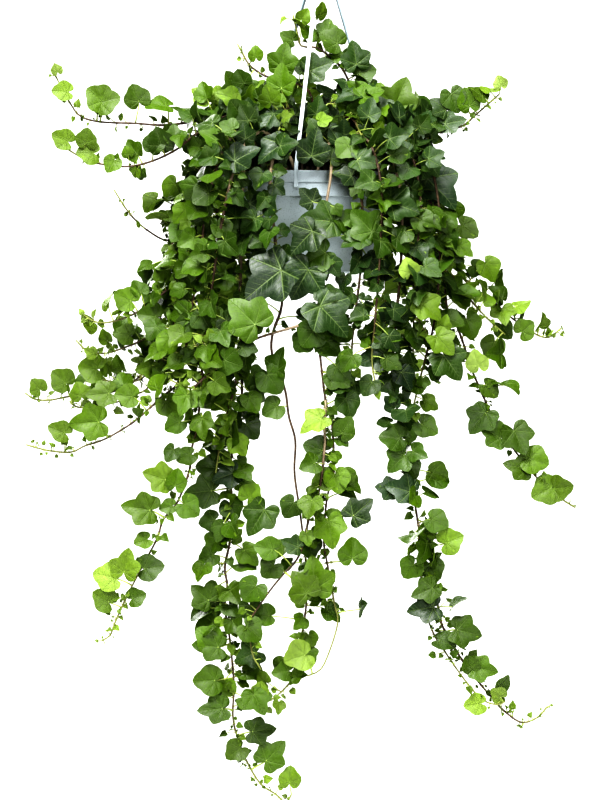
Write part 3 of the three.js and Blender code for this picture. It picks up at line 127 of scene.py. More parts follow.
# The stems that can be told apart, each with the routes of its main stem and its side shoots.
# After the name come the length of a blade and the length of stem between leaves, each near the
# root and near the tip. From buds_from, a share of a route's length, the leaves of the rule stay
# buds, and between the two heights in bare it sets none, since leaves are placed there one by one.
STEMS = [
  stem_of("trail_front_1", (25, 22), (9, 13),
    [(-7, -52, SOIL_Z), (2, -76, -298), (10, -104, -294), (12, -120, -330), (2, -143, -400),
     (-4, -141, -507), (-3, -142, -540), (5, -141, -610), (13, -140, -640), (15, -139, -700),
     (7, -138, -730), (3, -136, -782), (8, -135, -815), (16, -134, -860), (20, -133, -885),
     (6, -131, -929), (-6, -131, -945), (-30, -130, -950), (-58, -129, -944)],
    [(5, -141, -610), (4, -150, -645), (4, -155, -667), (-2, -156, -718), (-13, -155, -745),
     (-26, -153, -798), (-47, -150, -824), (-61, -149, -841), (-80, -148, -868), (-88, -147, -884),
     (-85, -146, -920), (-74, -145, -941)],
    [(-4, -141, -507), (-26, -152, -518), (-85, -168, -537), (-110, -174, -556), (-140, -178, -580),
     (-160, -176, -595), (-186, -172, -585)],
    [(-110, -174, -556), (-130, -177, -552), (-157, -178, -542)],
    buds_from={0: 0.75, 1: 0.6}, bare=[(0, -960, -868), (1, -868, -775)]),
  stem_of("trail_front_2", (23, 20), (10, 13),
    [(-27, -72, SOIL_Z), (-42, -92, -304), (-57, -113, -306), (-63, -128, -345), (-56, -131, -420),
     (-48, -132, -487), (-60, -132, -529), (-60, -131, -556), (-45, -130, -596), (-40, -129, -630),
     (-32, -128, -660), (-33, -127, -700), (-26, -126, -750), (-19, -125, -810), (-18, -124, -855),
     (-24, -123, -900), (-31, -122, -944), (-49, -121, -969), (-71, -120, -983), (-88, -118, -979)],
    bare=[(0, -772, -520)]),
  stem_of("trail_front_3", (25, 24), (8, 10),
    [(-58, -61, SOIL_Z), (-76, -76, -300), (-90, -94, -296), (-97, -106, -335), (-98, -110, -400),
     (-100, -112, -485), (-98, -110, -610), (-107, -108, -663), (-112, -106, -690), (-110, -104, -750),
     (-113, -102, -786), (-119, -100, -816), (-116, -99, -840), (-119, -98, -866), (-113, -97, -905),
     (-108, -95, -960), (-109, -94, -1003), (-100, -94, -1037), (-88, -94, -1064), (-74, -95, -1085),
     (-56, -96, -1097), (-44, -98, -1107), (-37, -99, -1097)],
    [(-99, -110, -560), (-108, -126, -600), (-122, -132, -650), (-130, -130, -700)],
    buds_from={0: 0.84}),
  stem_of("trail_left_1", (25, 25), (8, 13),
    [(-37, -50, SOIL_Z), (-62, -92, -284), (-90, -130, -290), (-112, -150, -345), (-130, -158, -440),
     (-145, -160, -560), (-151, -160, -635), (-159, -158, -670), (-162, -157, -697), (-177, -155, -736),
     (-194, -154, -757), (-202, -153, -781), (-223, -151, -820), (-240, -149, -854), (-252, -147, -880),
     (-259, -146, -898), (-270, -145, -906)],
    buds_from={0: 0.64}),
  stem_of("trail_left_2", (25, 22), (8, 16),
    [(-54, -40, SOIL_Z), (-84, -76, -282), (-112, -116, -288), (-136, -140, -350), (-152, -146, -450),
     (-166, -146, -545), (-175, -144, -587), (-196, -142, -606), (-212, -141, -621), (-235, -140, -640),
     (-266, -138, -658), (-290, -136, -666), (-308, -135, -674), (-336, -133, -672),
     (-363, -131, -665)],
    buds_from={0: 0.77}),
  stem_of("trail_left_3", (23, 20), (8, 13),
    [(-76, -41, SOIL_Z), (-98, -66, -294), (-128, -98, -302), (-150, -117, -370), (-170, -122, -470),
     (-192, -122, -550), (-213, -120, -594), (-231, -119, -603), (-253, -118, -613), (-284, -116, -618),
     (-299, -115, -619), (-310, -114, -613)]),
  stem_of("trail_left_4", (25, 20), (8, 13),
    [(-68, -22, SOIL_Z), (-92, -44, -276), (-130, -78, -290), (-152, -92, -350), (-166, -97, -420),
     (-178, -98, -458), (-193, -98, -476), (-212, -98, -492), (-236, -98, -506), (-262, -97, -514),
     (-280, -95, -513), (-298, -93, -502)]),
  stem_of("trail_left_5", (23, 18), (8, 13),
    [(-86, -16, SOIL_Z), (-112, -32, -290), (-145, -50, -310), (-160, -60, -380), (-166, -64, -450),
     (-172, -65, -495), (-190, -66, -514), (-221, -66, -535), (-244, -66, -545), (-268, -65, -552),
     (-290, -63, -549), (-304, -61, -536)]),
  stem_of("trail_left_6", (25, 20), (8, 13),
    [(-72, 2, SOIL_Z), (-104, -4, -272), (-150, -18, -300), (-174, -26, -370), (-192, -30, -450),
     (-205, -31, -540), (-217, -31, -577), (-238, -31, -588), (-262, -30, -587), (-286, -29, -579)]),
  stem_of("trail_left_7", (23, 22), (8, 14),
    [(-88, 15, SOIL_Z), (-118, 12, -292), (-160, 6, -315), (-185, 0, -390), (-200, -6, -480),
     (-212, -10, -555), (-235, -12, -588), (-270, -12, -602), (-310, -11, -605), (-338, -9, -610),
     (-357, -8, -609), (-370, -7, -601)],
    buds_from={0: 0.85}),
  stem_of("twig_left", (16, 8), (10, 24),
    [(-80, 33, SOIL_Z), (-108, 38, -302), (-140, 36, -325), (-165, 28, -385), (-189, 20, -410),
     (-218, 15, -397), (-240, 11, -376), (-259, 8, -347)]),
  stem_of("shoot_left_1", (25, 22), (7, 22),
    [(-52, -4, SOIL_Z), (-70, -12, -280), (-97, -26, -258), (-135, -38, -260), (-190, -42, -268),
     (-231, -41, -266), (-275, -40, -264), (-299, -38, -257), (-312, -36, -241), (-333, -32, -202)],
    buds_from={0: 0.62}),
  stem_of("shoot_left_2", (25, 21), (7, 18),
    [(-48, -21, SOIL_Z), (-76, -50, -264), (-112, -64, -256), (-157, -72, -282), (-178, -74, -299),
     (-209, -75, -314), (-242, -75, -321), (-280, -73, -316), (-305, -71, -305), (-322, -69, -292),
     (-329, -66, -281)],
    buds_from={0: 0.7}),
  stem_of("trail_right_1", (25, 22), (8, 12),
    [(35, -60, SOIL_Z), (60, -88, -300), (84, -110, -305), (98, -124, -360), (98, -128, -440),
     (90, -129, -530), (87, -128, -590), (95, -127, -630), (96, -126, -660), (108, -125, -700),
     (119, -123, -762), (121, -122, -790), (125, -121, -855), (137, -120, -895), (151, -119, -918),
     (176, -118, -954), (197, -117, -978), (215, -116, -985), (226, -115, -982)],
    [(119, -123, -762), (128, -118, -790), (136, -114, -812), (145, -110, -872), (153, -108, -896),
     (180, -104, -940), (212, -101, -979), (226, -99, -994), (247, -97, -1008), (267, -95, -1002),
     (279, -93, -989)],
    buds_from={0: 0.72, 1: 0.12}),
  stem_of("trail_right_2", (25, 22), (8, 10),
    [(30, -40, SOIL_Z), (72, -76, -284), (106, -104, -298), (122, -121, -360), (116, -130, -440),
     (113, -131, -481), (120, -132, -512), (131, -132, -531), (140, -131, -551), (145, -130, -561)]),
  stem_of("trail_right_3", (25, 22), (8, 11),
    [(44, -22, SOIL_Z), (98, -38, -274), (130, -50, -300), (142, -58, -370), (152, -63, -440),
     (156, -64, -495), (168, -64, -518), (178, -64, -545), (185, -62, -568), (197, -61, -596),
     (217, -59, -639), (245, -56, -679), (275, -52, -714), (299, -48, -733), (316, -46, -744)],
    buds_from={0: 0.6}),
  stem_of("trail_right_4", (23, 20), (8, 12),
    [(63, -13, SOIL_Z), (98, -8, -286), (124, -12, -302), (136, -24, -360), (142, -30, -409),
     (146, -32, -427), (170, -34, -465), (196, -34, -497), (216, -32, -517), (230, -30, -529)]),
  stem_of("trail_right_5", (25, 20), (8, 13),
    [(47, 7, SOIL_Z), (92, 18, -264), (130, 22, -285), (146, 16, -345), (162, 11, -420), (180, 8, -460),
     (214, 6, -486), (242, 4, -510), (271, 2, -529), (287, 1, -531), (300, 0, -520)]),
  stem_of("shoot_right", (23, 20), (7, 13),
    [(32, -5, SOIL_Z), (62, -10, -268), (100, -15, -254), (137, -25, -274), (151, -26, -276),
     (177, -27, -268), (189, -27, -258), (214, -26, -236), (222, -25, -229)],
    buds_from={0: 0.58}),
  stem_of("fill_right_1", (23, 20), (8, 11),
    [(10, -70, SOIL_Z), (28, -96, -304), (42, -116, -315), (50, -127, -370), (48, -131, -450),
     (42, -131, -500), (38, -130, -540), (36, -128, -590)]),
  stem_of("fill_right_2", (25, 22), (8, 10),
    [(15, -51, SOIL_Z), (38, -92, -286), (60, -128, -296), (73, -146, -345), (72, -152, -430),
     (66, -152, -510), (62, -150, -560), (68, -149, -600)]),
  stem_of("fill_right_3", (25, 22), (8, 10),
    [(52, -41, SOIL_Z), (92, -64, -286), (126, -82, -300), (144, -92, -360), (146, -97, -440),
     (140, -99, -510), (128, -99, -560), (118, -98, -600), (110, -96, -635)]),
  stem_of("fill_right_4", (25, 22), (8, 10),
    [(57, 28, SOIL_Z), (100, 46, -284), (124, 54, -310), (140, 54, -380), (148, 50, -450),
     (146, 48, -510)]),
  stem_of("top_left", (25, 18), (7, 12),
    [(-20, -8, SOIL_Z), (-10, -24, -262), (-14, -32, -228), (-30, -36, -217), (-47, -36, -212),
     (-66, -36, -208), (-78, -35, -202), (-90, -34, -192), (-98, -33, -178), (-104, -32, -167)],
    buds_from={0: 0.62}),
  stem_of("top_centre", (25, 20), (8, 13),
    [(2, 6, SOIL_Z), (24, -8, -270), (36, -18, -226), (30, -20, -203), (17, -20, -187), (-5, -20, -171),
     (-24, -20, -169), (-29, -20, -155), (-35, -20, -130)]),
  stem_of("top_right", (23, 20), (7, 10),
    [(17, -26, SOIL_Z), (46, -44, -282), (73, -61, -266), (72, -65, -252), (44, -70, -246),
     (9, -74, -243)]),
]


# Short stems on every side of the crown, with shares of their reach and the heights there
CROWN = {
    "count": 12, "first": 4, "root": 24, "size": (32, 27), "spacing": (7, 7), "reach": 128,
    "profile": [(0.3, 58), (0.58, 88), (0.8, 84), (1, 62)],
}

# Stems down the back, with how far each drops below the rim
BACK = {
    "azimuths": [126, 142, 158, 174, 190, 206, 222, 238], "roots": [74, 56], "size": (30, 26),
    "spacing": (8, 9), "reach": 150, "drops": [250, 190, 105, 80, 90, 120, 230, 280],
}

# The blades that stand out most, by stem: base and apex of the midrib, the way it faces, and age
PLACED_LEAVES = {
  "trail_front_1": [
    ((-49, -158, -451), (-97, -164, -487), (-0.1, -1, 0.5), 0.95),
    ((-81, -182, -518), (-115, -180, -484), (0.1, -1, 0.1), 0.5),
    ((-2, -166, -495), (36, -172, -532), (0.1, -1, 0.4), 0.85),
    ((-11, -160, -403), (-40, -164, -432), (0, -1, 0.5), 0.9),
    ((-9, -150, -524), (-25, -152, -547), (0.2, -1, 0.1), 0.6),
    ((-12, -122, -310), (-5, -130, -272), (0, -1, 0.5), 0.9),
    ((5, -148, -429), (-26, -150, -445), (0, -1, 0.2), 0.6),
    ((14, -142, -391), (-29, -148, -386), (0, -1, 0.3), 0.7),
    ((-11, -126, -366), (-28, -130, -348), (0, -1, 0.2), 0.9),
    ((37, -124, -334), (11, -128, -330), (0, -1, 0.4), 0.9),
    ((-16, -152, -450), (-39, -156, -491), (0, -1, 0.1), 0.9),
    ((-18, -156, -847), (-36, -162, -818), (0, -1, 0.2), 0.35),
    ((-20, -146, -923), (-48, -150, -931), (-0.1, -1, 0.2), 0.15),
    ((-8, -150, -842), (-11, -156, -798), (0.1, -1, 0.1), 0.4),
    ((39, -150, -752), (64, -154, -730), (0.1, -1, 0.2), 0.85),
    ((38, -150, -804), (38, -154, -777), (0.2, -1, 0.1), 0.45),
    ((-29, -160, -790), (-51, -164, -780), (0, -1, 0.2), 0.8),
    ((-60, -160, -793), (-84, -164, -788), (0, -1, 0.2), 0.5),
    ((8, -156, -759), (16, -162, -794), (0.2, -1, 0.2), 0.4),
    ((10, -146, -756), (32, -150, -766), (0.1, -1, 0.3), 0.4),
    ((8, -152, -706), (-14, -156, -713), (0, -1, 0.3), 0.35),
    ((0, -154, -633), (-29, -160, -648), (0.2, -1, 0.9), 0.15),
    ((2, -150, -672), (-24, -154, -664), (0, -1, 0.2), 0.6),
    ((17, -150, -702), (24, -156, -726), (0.2, -1, 0.2), 0.4),
    ((25, -150, -651), (38, -154, -630), (0.2, -1, 0.1), 0.5),
    ((48, -146, -866), (52, -170, -858), (-1, -0.2, 0.1), 0.8),
  ],
  "trail_front_2": [
    ((-66, -140, -579), (-49, -142, -602), (-0.2, -1, 0.3), 0.6),
    ((-54, -142, -573), (-49, -144, -542), (-0.8, -1, 0.2), 0.6),
    ((-49, -124, -295), (-80, -132, -318), (-0.1, -1, 0.5), 0.95),
    ((-64, -134, -875), (-87, -140, -871), (0, -1, 0.3), 0.5),
    ((-83, -132, -972), (-68, -138, -999), (0.1, -1, 0.2), 0.5),
  ],
  "trail_left_1": [
    ((-106, -152, -317), (-75, -158, -299), (-0.1, -1, 0.4), 0.95),
    ((-93, -138, -289), (-95, -144, -266), (0, -1, 0.6), 0.85),
    ((-59, -98, -256), (-74, -106, -281), (-0.2, -0.8, 0.6), 0.9),
    ((-181, -160, -671), (-191, -164, -687), (-0.4, -1, 0), 0.6),
    ((-160, -162, -677), (-178, -166, -684), (0.1, -1, 0.2), 0.5),
    ((-191, -160, -708), (-221, -164, -697), (-0.2, -1, 0.2), 0.25),
    ((-179, -160, -715), (-175, -164, -693), (0.2, -1, 0), 0.45),
    ((-210, -160, -745), (-248, -164, -738), (0, -1, 0.1), 0.4),
    ((-183, -158, -740), (-200, -160, -743), (0, -1, 0.3), 0.45),
    ((-214, -156, -781), (-231, -160, -786), (0, -1, 0.2), 0.4),
    ((-242, -156, -821), (-236, -164, -789), (-0.1, -1, 0.1), 0.25),
    ((-254, -154, -828), (-282, -158, -821), (0, -1, 0.2), 0.15),
    ((-217, -154, -817), (-191, -158, -812), (0, -1, 0.2), 0.55),
    ((-261, -152, -858), (-282, -156, -844), (0.1, -1, 0.1), 0.35),
    ((-232, -152, -854), (-214, -154, -846), (0, -1, 0.3), 0.45),
  ],
  "top_right": [
    ((28, -100, -283), (28, -112, -262), (0, -1, 0.7), 0.9),
    ((42, -84, -232), (16, -92, -239), (0, -0.7, 0.8), 0.9),
    ((-6, -86, -256), (-1, -90, -232), (0.3, -1, 0.2), 0.8),
  ],
  "fill_right_1": [
    ((34, -126, -297), (18, -132, -312), (0, -1, 0.4), 0.5),
    ((62, -148, -404), (36, -150, -375), (0, -1, 0.3), 0.6),
    ((50, -152, -412), (22, -158, -421), (-0.3, -1, 0.5), 0.7),
  ],
  "fill_right_2": [
    ((44, -136, -315), (76, -144, -320), (0.1, -1, 0.5), 0.8),
  ],
  "trail_right_1": [
    ((85, -142, -368), (123, -150, -379), (0.2, -1, 0.5), 0.8),
    ((77, -140, -554), (44, -144, -565), (-0.1, -1, 0.3), 0.9),
    ((96, -136, -657), (68, -140, -655), (0, -1, 0.2), 0.6),
    ((102, -136, -678), (80, -140, -700), (-0.1, -1, 0.2), 0.6),
    ((109, -138, -723), (78, -144, -713), (-0.1, -1, 0.3), 0.95),
    ((87, -130, -720), (63, -134, -716), (0, -1, 0.2), 0.95),
    ((136, -134, -757), (158, -138, -765), (0.1, -1, 0.3), 0.5),
    ((153, -132, -786), (177, -136, -775), (0.1, -1, 0.2), 0.3),
    ((137, -132, -841), (109, -136, -852), (0, -1, 0.2), 0.5),
    ((138, -126, -865), (102, -128, -870), (0, -1, 0.2), 0.9),
    ((163, -126, -863), (179, -134, -851), (-0.5, -0.5, 0.9), 0.7),
    ((167, -126, -893), (200, -130, -900), (0.1, -1, 0.2), 0.5),
    ((145, -124, -906), (167, -130, -912), (0, -1, 0.6), 0.6),
    ((190, -116, -940), (220, -120, -945), (0.1, -1, 0.1), 0.45),
    ((185, -118, -940), (178, -122, -923), (0, -1, 0.2), 0.45),
    ((196, -124, -984), (173, -128, -985), (0, -1, 0.3), 0.2),
    ((222, -108, -963), (232, -112, -948), (0.7, -0.7, 0.2), 0.5),
    ((221, -112, -976), (208, -116, -966), (0, -1, 0.2), 0.15),
  ],
  "trail_right_2": [
    ((123, -146, -492), (150, -150, -512), (0.1, -1, 0.4), 0.3),
    ((142, -146, -533), (165, -152, -555), (0.2, -1, 0.4), 0.3),
    ((150, -142, -555), (173, -146, -586), (0.1, -1, 0.2), 0.7),
    ((109, -146, -454), (104, -150, -434), (0, -1, 0.2), 0.1),
  ],
  "trail_right_4": [
    ((131, -60, -336), (170, -78, -371), (0.3, -1, 0.6), 0.95),
  ],
  "top_left": [
    ((-49, -46, -196), (-44, -50, -163), (-0.1, -1, 0.2), 0.5),
    ((-14, -46, -201), (16, -50, -188), (0.1, -1, 0.3), 0.8),
    ((-81, -42, -184), (-83, -44, -168), (-0.3, -1, 0.1), 0.4),
    ((-96, -44, -216), (-105, -47, -198), (-0.5, -1, 0.3), 0.6),
  ],
  "top_centre": [
    ((20, -30, -166), (-2, -34, -151), (0.1, -1, 0.3), 0.5),
    ((44, -28, -192), (39, -32, -160), (0.2, -1, 0.2), 0.8),
    ((-24, -26, -136), (-16, -30, -122), (0.2, -1, 0.2), 0.3),
    ((-2, -24, -131), (4, -27, -113), (0.9, -0.6, 0.1), 0.3),
    ((-36, -26, -162), (-51, -30, -152), (-0.1, -1, 0.3), 0.5),
  ],
  "shoot_right": [
    ((92, -44, -246), (106, -48, -207), (0, -1, 0.2), 0.4),
    ((224, -30, -219), (220, -32, -205), (0, -1, 0.2), 0.05),
    ((211, -30, -226), (211, -12, -218), (0, -0.4, 0.9), 0.25),
    ((201, -32, -232), (182, -34, -218), (0.4, -0.6, 0.7), 0.4),
    ((185, -34, -244), (178, -38, -220), (0, -1, 0.2), 0.45),
    ((162, -36, -229), (172, -40, -254), (0.2, -1, 0), 0.6),
    ((154, -40, -267), (182, -44, -260), (0, -1, 0.4), 0.85),
    ((155, -38, -249), (135, -40, -233), (0, -1, 0.4), 0.8),
  ],
  "trail_front_3": [
    ((-108, -120, -700), (-136, -126, -710), (0, -1, 0.2), 0.95),
    ((-129, -114, -694), (-157, -116, -691), (0.1, -1, 0.2), 0.6),
    ((-135, -112, -722), (-171, -116, -725), (0, -1, 0.1), 0.6),
    ((-132, -106, -758), (-152, -110, -762), (-0.2, -1, 0), 0.6),
    ((-133, -104, -801), (-154, -106, -807), (0, -1, 0.3), 0.55),
    ((-139, -106, -857), (-162, -110, -837), (0, -1, 0.1), 0.5),
    ((-134, -104, -909), (-155, -108, -892), (0.1, -1, 0), 0.45),
    ((-127, -106, -915), (-162, -110, -911), (0, -1, 0.2), 0.5),
    ((-131, -104, -956), (-160, -108, -956), (0, -1, 0.1), 0.45),
    ((-122, -104, -991), (-156, -108, -993), (0.1, -1, 0.3), 0.55),
    ((-85, -104, -1019), (-53, -108, -1015), (0, -1, 0.1), 0.6),
    ((-68, -104, -1055), (-43, -108, -1029), (0.1, -1, 0.2), 0.5),
    ((-39, -104, -1082), (-38, -106, -1060), (0, -1, 0.2), 0.3),
    ((-100, -102, -1040), (-119, -106, -1053), (-0.1, -1, 0.2), 0.4),
    ((-80, -110, -921), (-108, -114, -932), (0, -1, 0.3), 0.75),
    ((-70, -120, -745), (-91, -126, -779), (0.1, -1, 0.2), 0.65),
    ((-90, -118, -731), (-76, -122, -712), (0.1, -1, 0.2), 0.35),
  ],
  "trail_left_2": [
    ((-232, -147, -606), (-256, -150, -602), (0, -1, 0.2), 0.4),
    ((-273, -144, -637), (-311, -148, -639), (0, -1, 0.1), 0.4),
    ((-315, -140, -651), (-336, -144, -641), (0, -1, 0.2), 0.3),
  ],
  "trail_left_3": [
    ((-296, -122, -605), (-301, -124, -586), (0.2, -1, 0.1), 0.3),
    ((-261, -124, -602), (-293, -128, -604), (0, -1, 0.3), 0.35),
  ],
  "trail_left_4": [
    ((-235, -104, -488), (-257, -108, -476), (0, -1, 0.2), 0.4),
    ((-204, -104, -507), (-229, -108, -502), (0, -1, 0.2), 0.45),
  ],
  "trail_left_5": [
    ((-238, -72, -530), (-259, -76, -525), (0, -1, 0.2), 0.4),
  ],
  "trail_left_6": [
    ((-279, -36, -572), (-305, -40, -567), (0, -1, 0.2), 0.35),
  ],
  "trail_left_7": [
    ((-319, -16, -589), (-336, -20, -572), (0.2, -1, 0.1), 0.35),
    ((-351, -14, -597), (-362, -18, -583), (0, -1, 0.1), 0.3),
  ],
  "shoot_left_1": [
    ((-272, -46, -239), (-292, -50, -221), (0, -1, 0.3), 0.4),
    ((-275, -46, -241), (-249, -50, -232), (0.2, -1, 0.4), 0.4),
    ((-227, -46, -239), (-235, -50, -216), (0, -1, 0.3), 0.45),
    ((-328, -40, -202), (-332, -42, -190), (0, -1, 0.2), 0.1),
    ((-315, -44, -227), (-336, -48, -224), (0, -1, 0.4), 0.25),
    ((-192, -48, -245), (-219, -52, -241), (0, -0.6, 0.9), 0.45),
  ],
  "shoot_left_2": [
    ((-314, -80, -290), (-334, -84, -279), (0, -1, 0.2), 0.3),
    ((-282, -80, -305), (-305, -84, -302), (0, -1, 0.3), 0.3),
    ((-291, -84, -292), (-289, -88, -272), (0, -1, 0.2), 0.35),
    ((-256, -80, -314), (-266, -84, -329), (-0.2, -1, 0), 0.4),
    ((-239, -80, -306), (-243, -84, -295), (0, -1, 0.3), 0.4),
  ],
  "trail_right_3": [
    ((195, -76, -568), (188, -82, -546), (-0.3, -1, 0.2), 0.05),
    ((223, -60, -553), (207, -90, -553), (0.88, -0.47, 0.1), 0.5),
    ((225, -66, -591), (246, -86, -598), (0.7, -0.7, 0.1), 0.5),
    ((204, -70, -626), (183, -78, -652), (-0.2, -1, 0.1), 0.6),
    ((222, -68, -657), (195, -74, -641), (-0.1, -1, 0.2), 0.5),
    ((239, -66, -648), (254, -74, -680), (0.3, -1, 0.2), 0.5),
    ((258, -62, -683), (284, -66, -690), (0.1, -1, 0.2), 0.4),
    ((254, -60, -696), (225, -66, -687), (0, -1, 0.2), 0.4),
    ((286, -58, -719), (259, -62, -731), (0, -1, 0.2), 0.35),
    ((289, -58, -720), (312, -74, -716), (0.4, -1, 0.1), 0.3),
  ],
  "trail_right_5": [
    ((226, -4, -497), (231, -26, -517), (0, -0.6, 0.8), 0.3),
    ((251, -4, -525), (267, -8, -511), (0.2, -1, 0.2), 0.4),
    ((226, -2, -516), (238, -6, -535), (-0.6, -0.8, 0.1), 0.6),
  ],
}

# More blades, given in the same way, where the plant is dense. No other leaf makes way for them.
FILLING_LEAVES = {
  "back_4": [
    ((-8, 112, -303), (-9, 117, -331), (0.1, 1, 0.3), 0.9),
  ],
  "trail_front_1": [
    ((-80, -152, -838), (-98, -154, -858), (0.1, -1, 0.3), 0.55),
    ((-88, -140, -862), (-80, -142, -886), (-0.2, -1, 0.2), 0.6),
    ((-92, -150, -888), (-72, -153, -904), (0.1, -1, 0.4), 0.5),
    ((30, -138, -608), (38, -140, -634), (0.2, -1, 0.2), 0.7),
    ((4, -140, -540), (24, -142, -556), (0.2, -1, 0.3), 0.6),
    ((-58, -152, -812), (-74, -155, -828), (0.2, -1, 0.2), 0.5),
  ],
  "fill_right_1": [
    ((40, -132, -588), (22, -134, -606), (-0.1, -1, 0.3), 0.7),
  ],
  "trail_left_7": [
    ((-182, -4, -340), (-196, -6, -362), (-0.5, -1, 0.4), 0.4),
    ((-206, 0, -360), (-224, -3, -374), (-0.4, -1, 0.5), 0.35),
  ],
  "trail_right_5": [
    ((176, 8, -392), (198, 4, -406), (0.4, -1, 0.3), 0.4),
    ((206, 4, -440), (220, 2, -462), (0.5, -1, 0.3), 0.35),
  ],
  "trail_right_3": [
    ((180, -68, -510), (190, -70, -536), (0.2, -1, 0.3), 0.45),
    ((204, -64, -592), (220, -67, -606), (0.2, -1, 0.3), 0.4),
  ],
  "fill_right_3": [
    ((124, -98, -640), (146, -102, -652), (0.1, -1, 0.2), 0.5),
    ((106, -100, -640), (112, -103, -664), (-0.1, -1, 0.2), 0.6),
  ],
  "trail_left_2": [
    ((-190, -146, -612), (-178, -148, -634), (-0.1, -1, 0.4), 0.4),
  ],
  "trail_left_1": [
    ((-168, -158, -738), (-148, -160, -752), (0, -1, 0.3), 0.5),
  ],
  "trail_front_3": [
    ((-92, -112, -640), (-76, -114, -658), (0.2, -1, 0.2), 0.65),
    ((-112, -108, -738), (-104, -112, -760), (-0.2, -1, 0.3), 0.6),
  ],
  "trail_right_1": [
    ((84, -132, -584), (92, -135, -610), (-0.2, -1, 0.3), 0.75),
    ((114, -124, -812), (100, -126, -830), (0.1, -1, 0.3), 0.5),
    ((108, -128, -688), (118, -131, -708), (0.1, -1, 0.4), 0.6),
    ((134, -116, -812), (144, -119, -834), (0, -1, 0.2), 0.5),
  ],
  "top_centre": [
    ((48, -22, -204), (70, -24, -196), (0.2, -1, 0.4), 0.6),
  ],
  "trail_front_2": [
    ((-34, -130, -736), (-46, -133, -756), (0.1, -1, 0.2), 0.6),
    ((-54, -131, -618), (-74, -134, -628), (0, -1, 0.3), 0.5),
    ((-16, -130, -784), (-10, -133, -808), (0.1, -1, 0.3), 0.6),
  ],
  "fill_right_2": [
    ((62, -152, -588), (50, -155, -606), (0, -1, 0.3), 0.7),
  ],
  "trail_right_4": [
    ((216, -32, -538), (206, -34, -560), (0.3, -1, 0.3), 0.4),
  ],
}

# Where the plant lies open: west, east, bottom and top of each gap seen from the front, and
# how far to the back the gap reaches.
BACK_TO_POT, RIGHT_THROUGH = -40, 300
GAPS = [
    (-42, 10, -372, -322, BACK_TO_POT), (10, 34, -372, -350, BACK_TO_POT),
    (-22, -12, -240, -190, BACK_TO_POT),
    (-29, -19, -315, -240, BACK_TO_POT),
    (-72, -26, -512, -478, RIGHT_THROUGH), (-76, -34, -568, -530, RIGHT_THROUGH),
    (-42, -4, -606, -554, RIGHT_THROUGH), (-38, -14, -640, -594, RIGHT_THROUGH),
    (50, 64, -622, -575, RIGHT_THROUGH), (-50, -26, -760, -665, RIGHT_THROUGH),
    (40, 62, -705, -640, RIGHT_THROUGH), (72, 95, -790, -748, RIGHT_THROUGH),
    (-245, -200, -430, -395, RIGHT_THROUGH), (-205, -178, -340, -305, RIGHT_THROUGH),
    (152, 190, -325, -285, RIGHT_THROUGH),
]

# Half the outline of a blade round the point where the stalk joins it: degrees from the
# midrib, share of the blade's length, and how pointed the margin is there, where it is a lobe.
OUTLINES = {
    "five": [
        (0, 1.0, 0.5), (31, 0.66, None), (59, 0.79, 0.4), (84, 0.57, None),
        (111, 0.56, 0.25), (139, 0.4, None), (168, 0.07, None),
    ],
    "three": [
        (0, 1.0, 0.4), (31, 0.69, None), (60, 0.77, 0.2), (90, 0.59, None),
        (117, 0.49, None), (144, 0.34, None), (168, 0.06, None),
    ],
    "broad": [
        (0, 1.0, 0.25), (34, 0.8, None), (62, 0.83, 0.05), (92, 0.69, None),
        (120, 0.58, None), (146, 0.42, None), (168, 0.07, None),
    ],
    "young": [
        (0, 1.0, 0.4), (33, 0.68, None), (60, 0.62, 0.1), (105, 0.4, None),
        (166, 0.05, None),
    ],
}
VEIN_ANGLES = (0, 60, 107)

# How finely a blade is drawn, by its length: steps between outline points, and rings
DETAILS = [
    (38, 4, (0.3, 0.6, 0.82, 1.0)),
    (27, 3, (0.4, 0.74, 1.0)),
    (14, 2, (0.55, 1.0)),
    (0, 1, (0.6, 1.0)),
]


# Numbers and vectors

def random_stream(seed):
    """A repeatable stream of numbers from 0 to 1."""
    state = (seed * 7919 + 104729) % 2147483647
    while True:
        state = state * 16807 % 2147483647
        yield state / 2147483647


def started(seed):
    stream = random_stream(seed)
    next(stream)
    next(stream)
    return stream


def mix(a, b, share):
    return a + (b - a) * share


def clamp(value, low, high):
    return max(low, min(high, value))


def vector(*numbers):
    return np.array(numbers, float)


def unit(v):
    return v / np.linalg.norm(v)


def turns(count):
    """The angles that divide a whole turn into equal parts."""
    return np.arange(count) / count * 2 * math.pi


def rounding(start, corner, end, u):
    """A point on the curve that takes the place of a corner."""
    return mix(mix(start, corner, u), mix(corner, end, u), u)


UP = vector(0, 0, 1)
POT_FOOT = vector(POT_X, 0, RIM_Z - POT_HEIGHT)


def around_pot(radius, azimuth, z):
    """A point at a distance and an azimuth from the pot's axis. Azimuth 0 is the front."""
    angle = math.radians(azimuth)
    return (POT_X + radius * math.sin(angle), -radius * math.cos(angle), z)


# Routes of stems

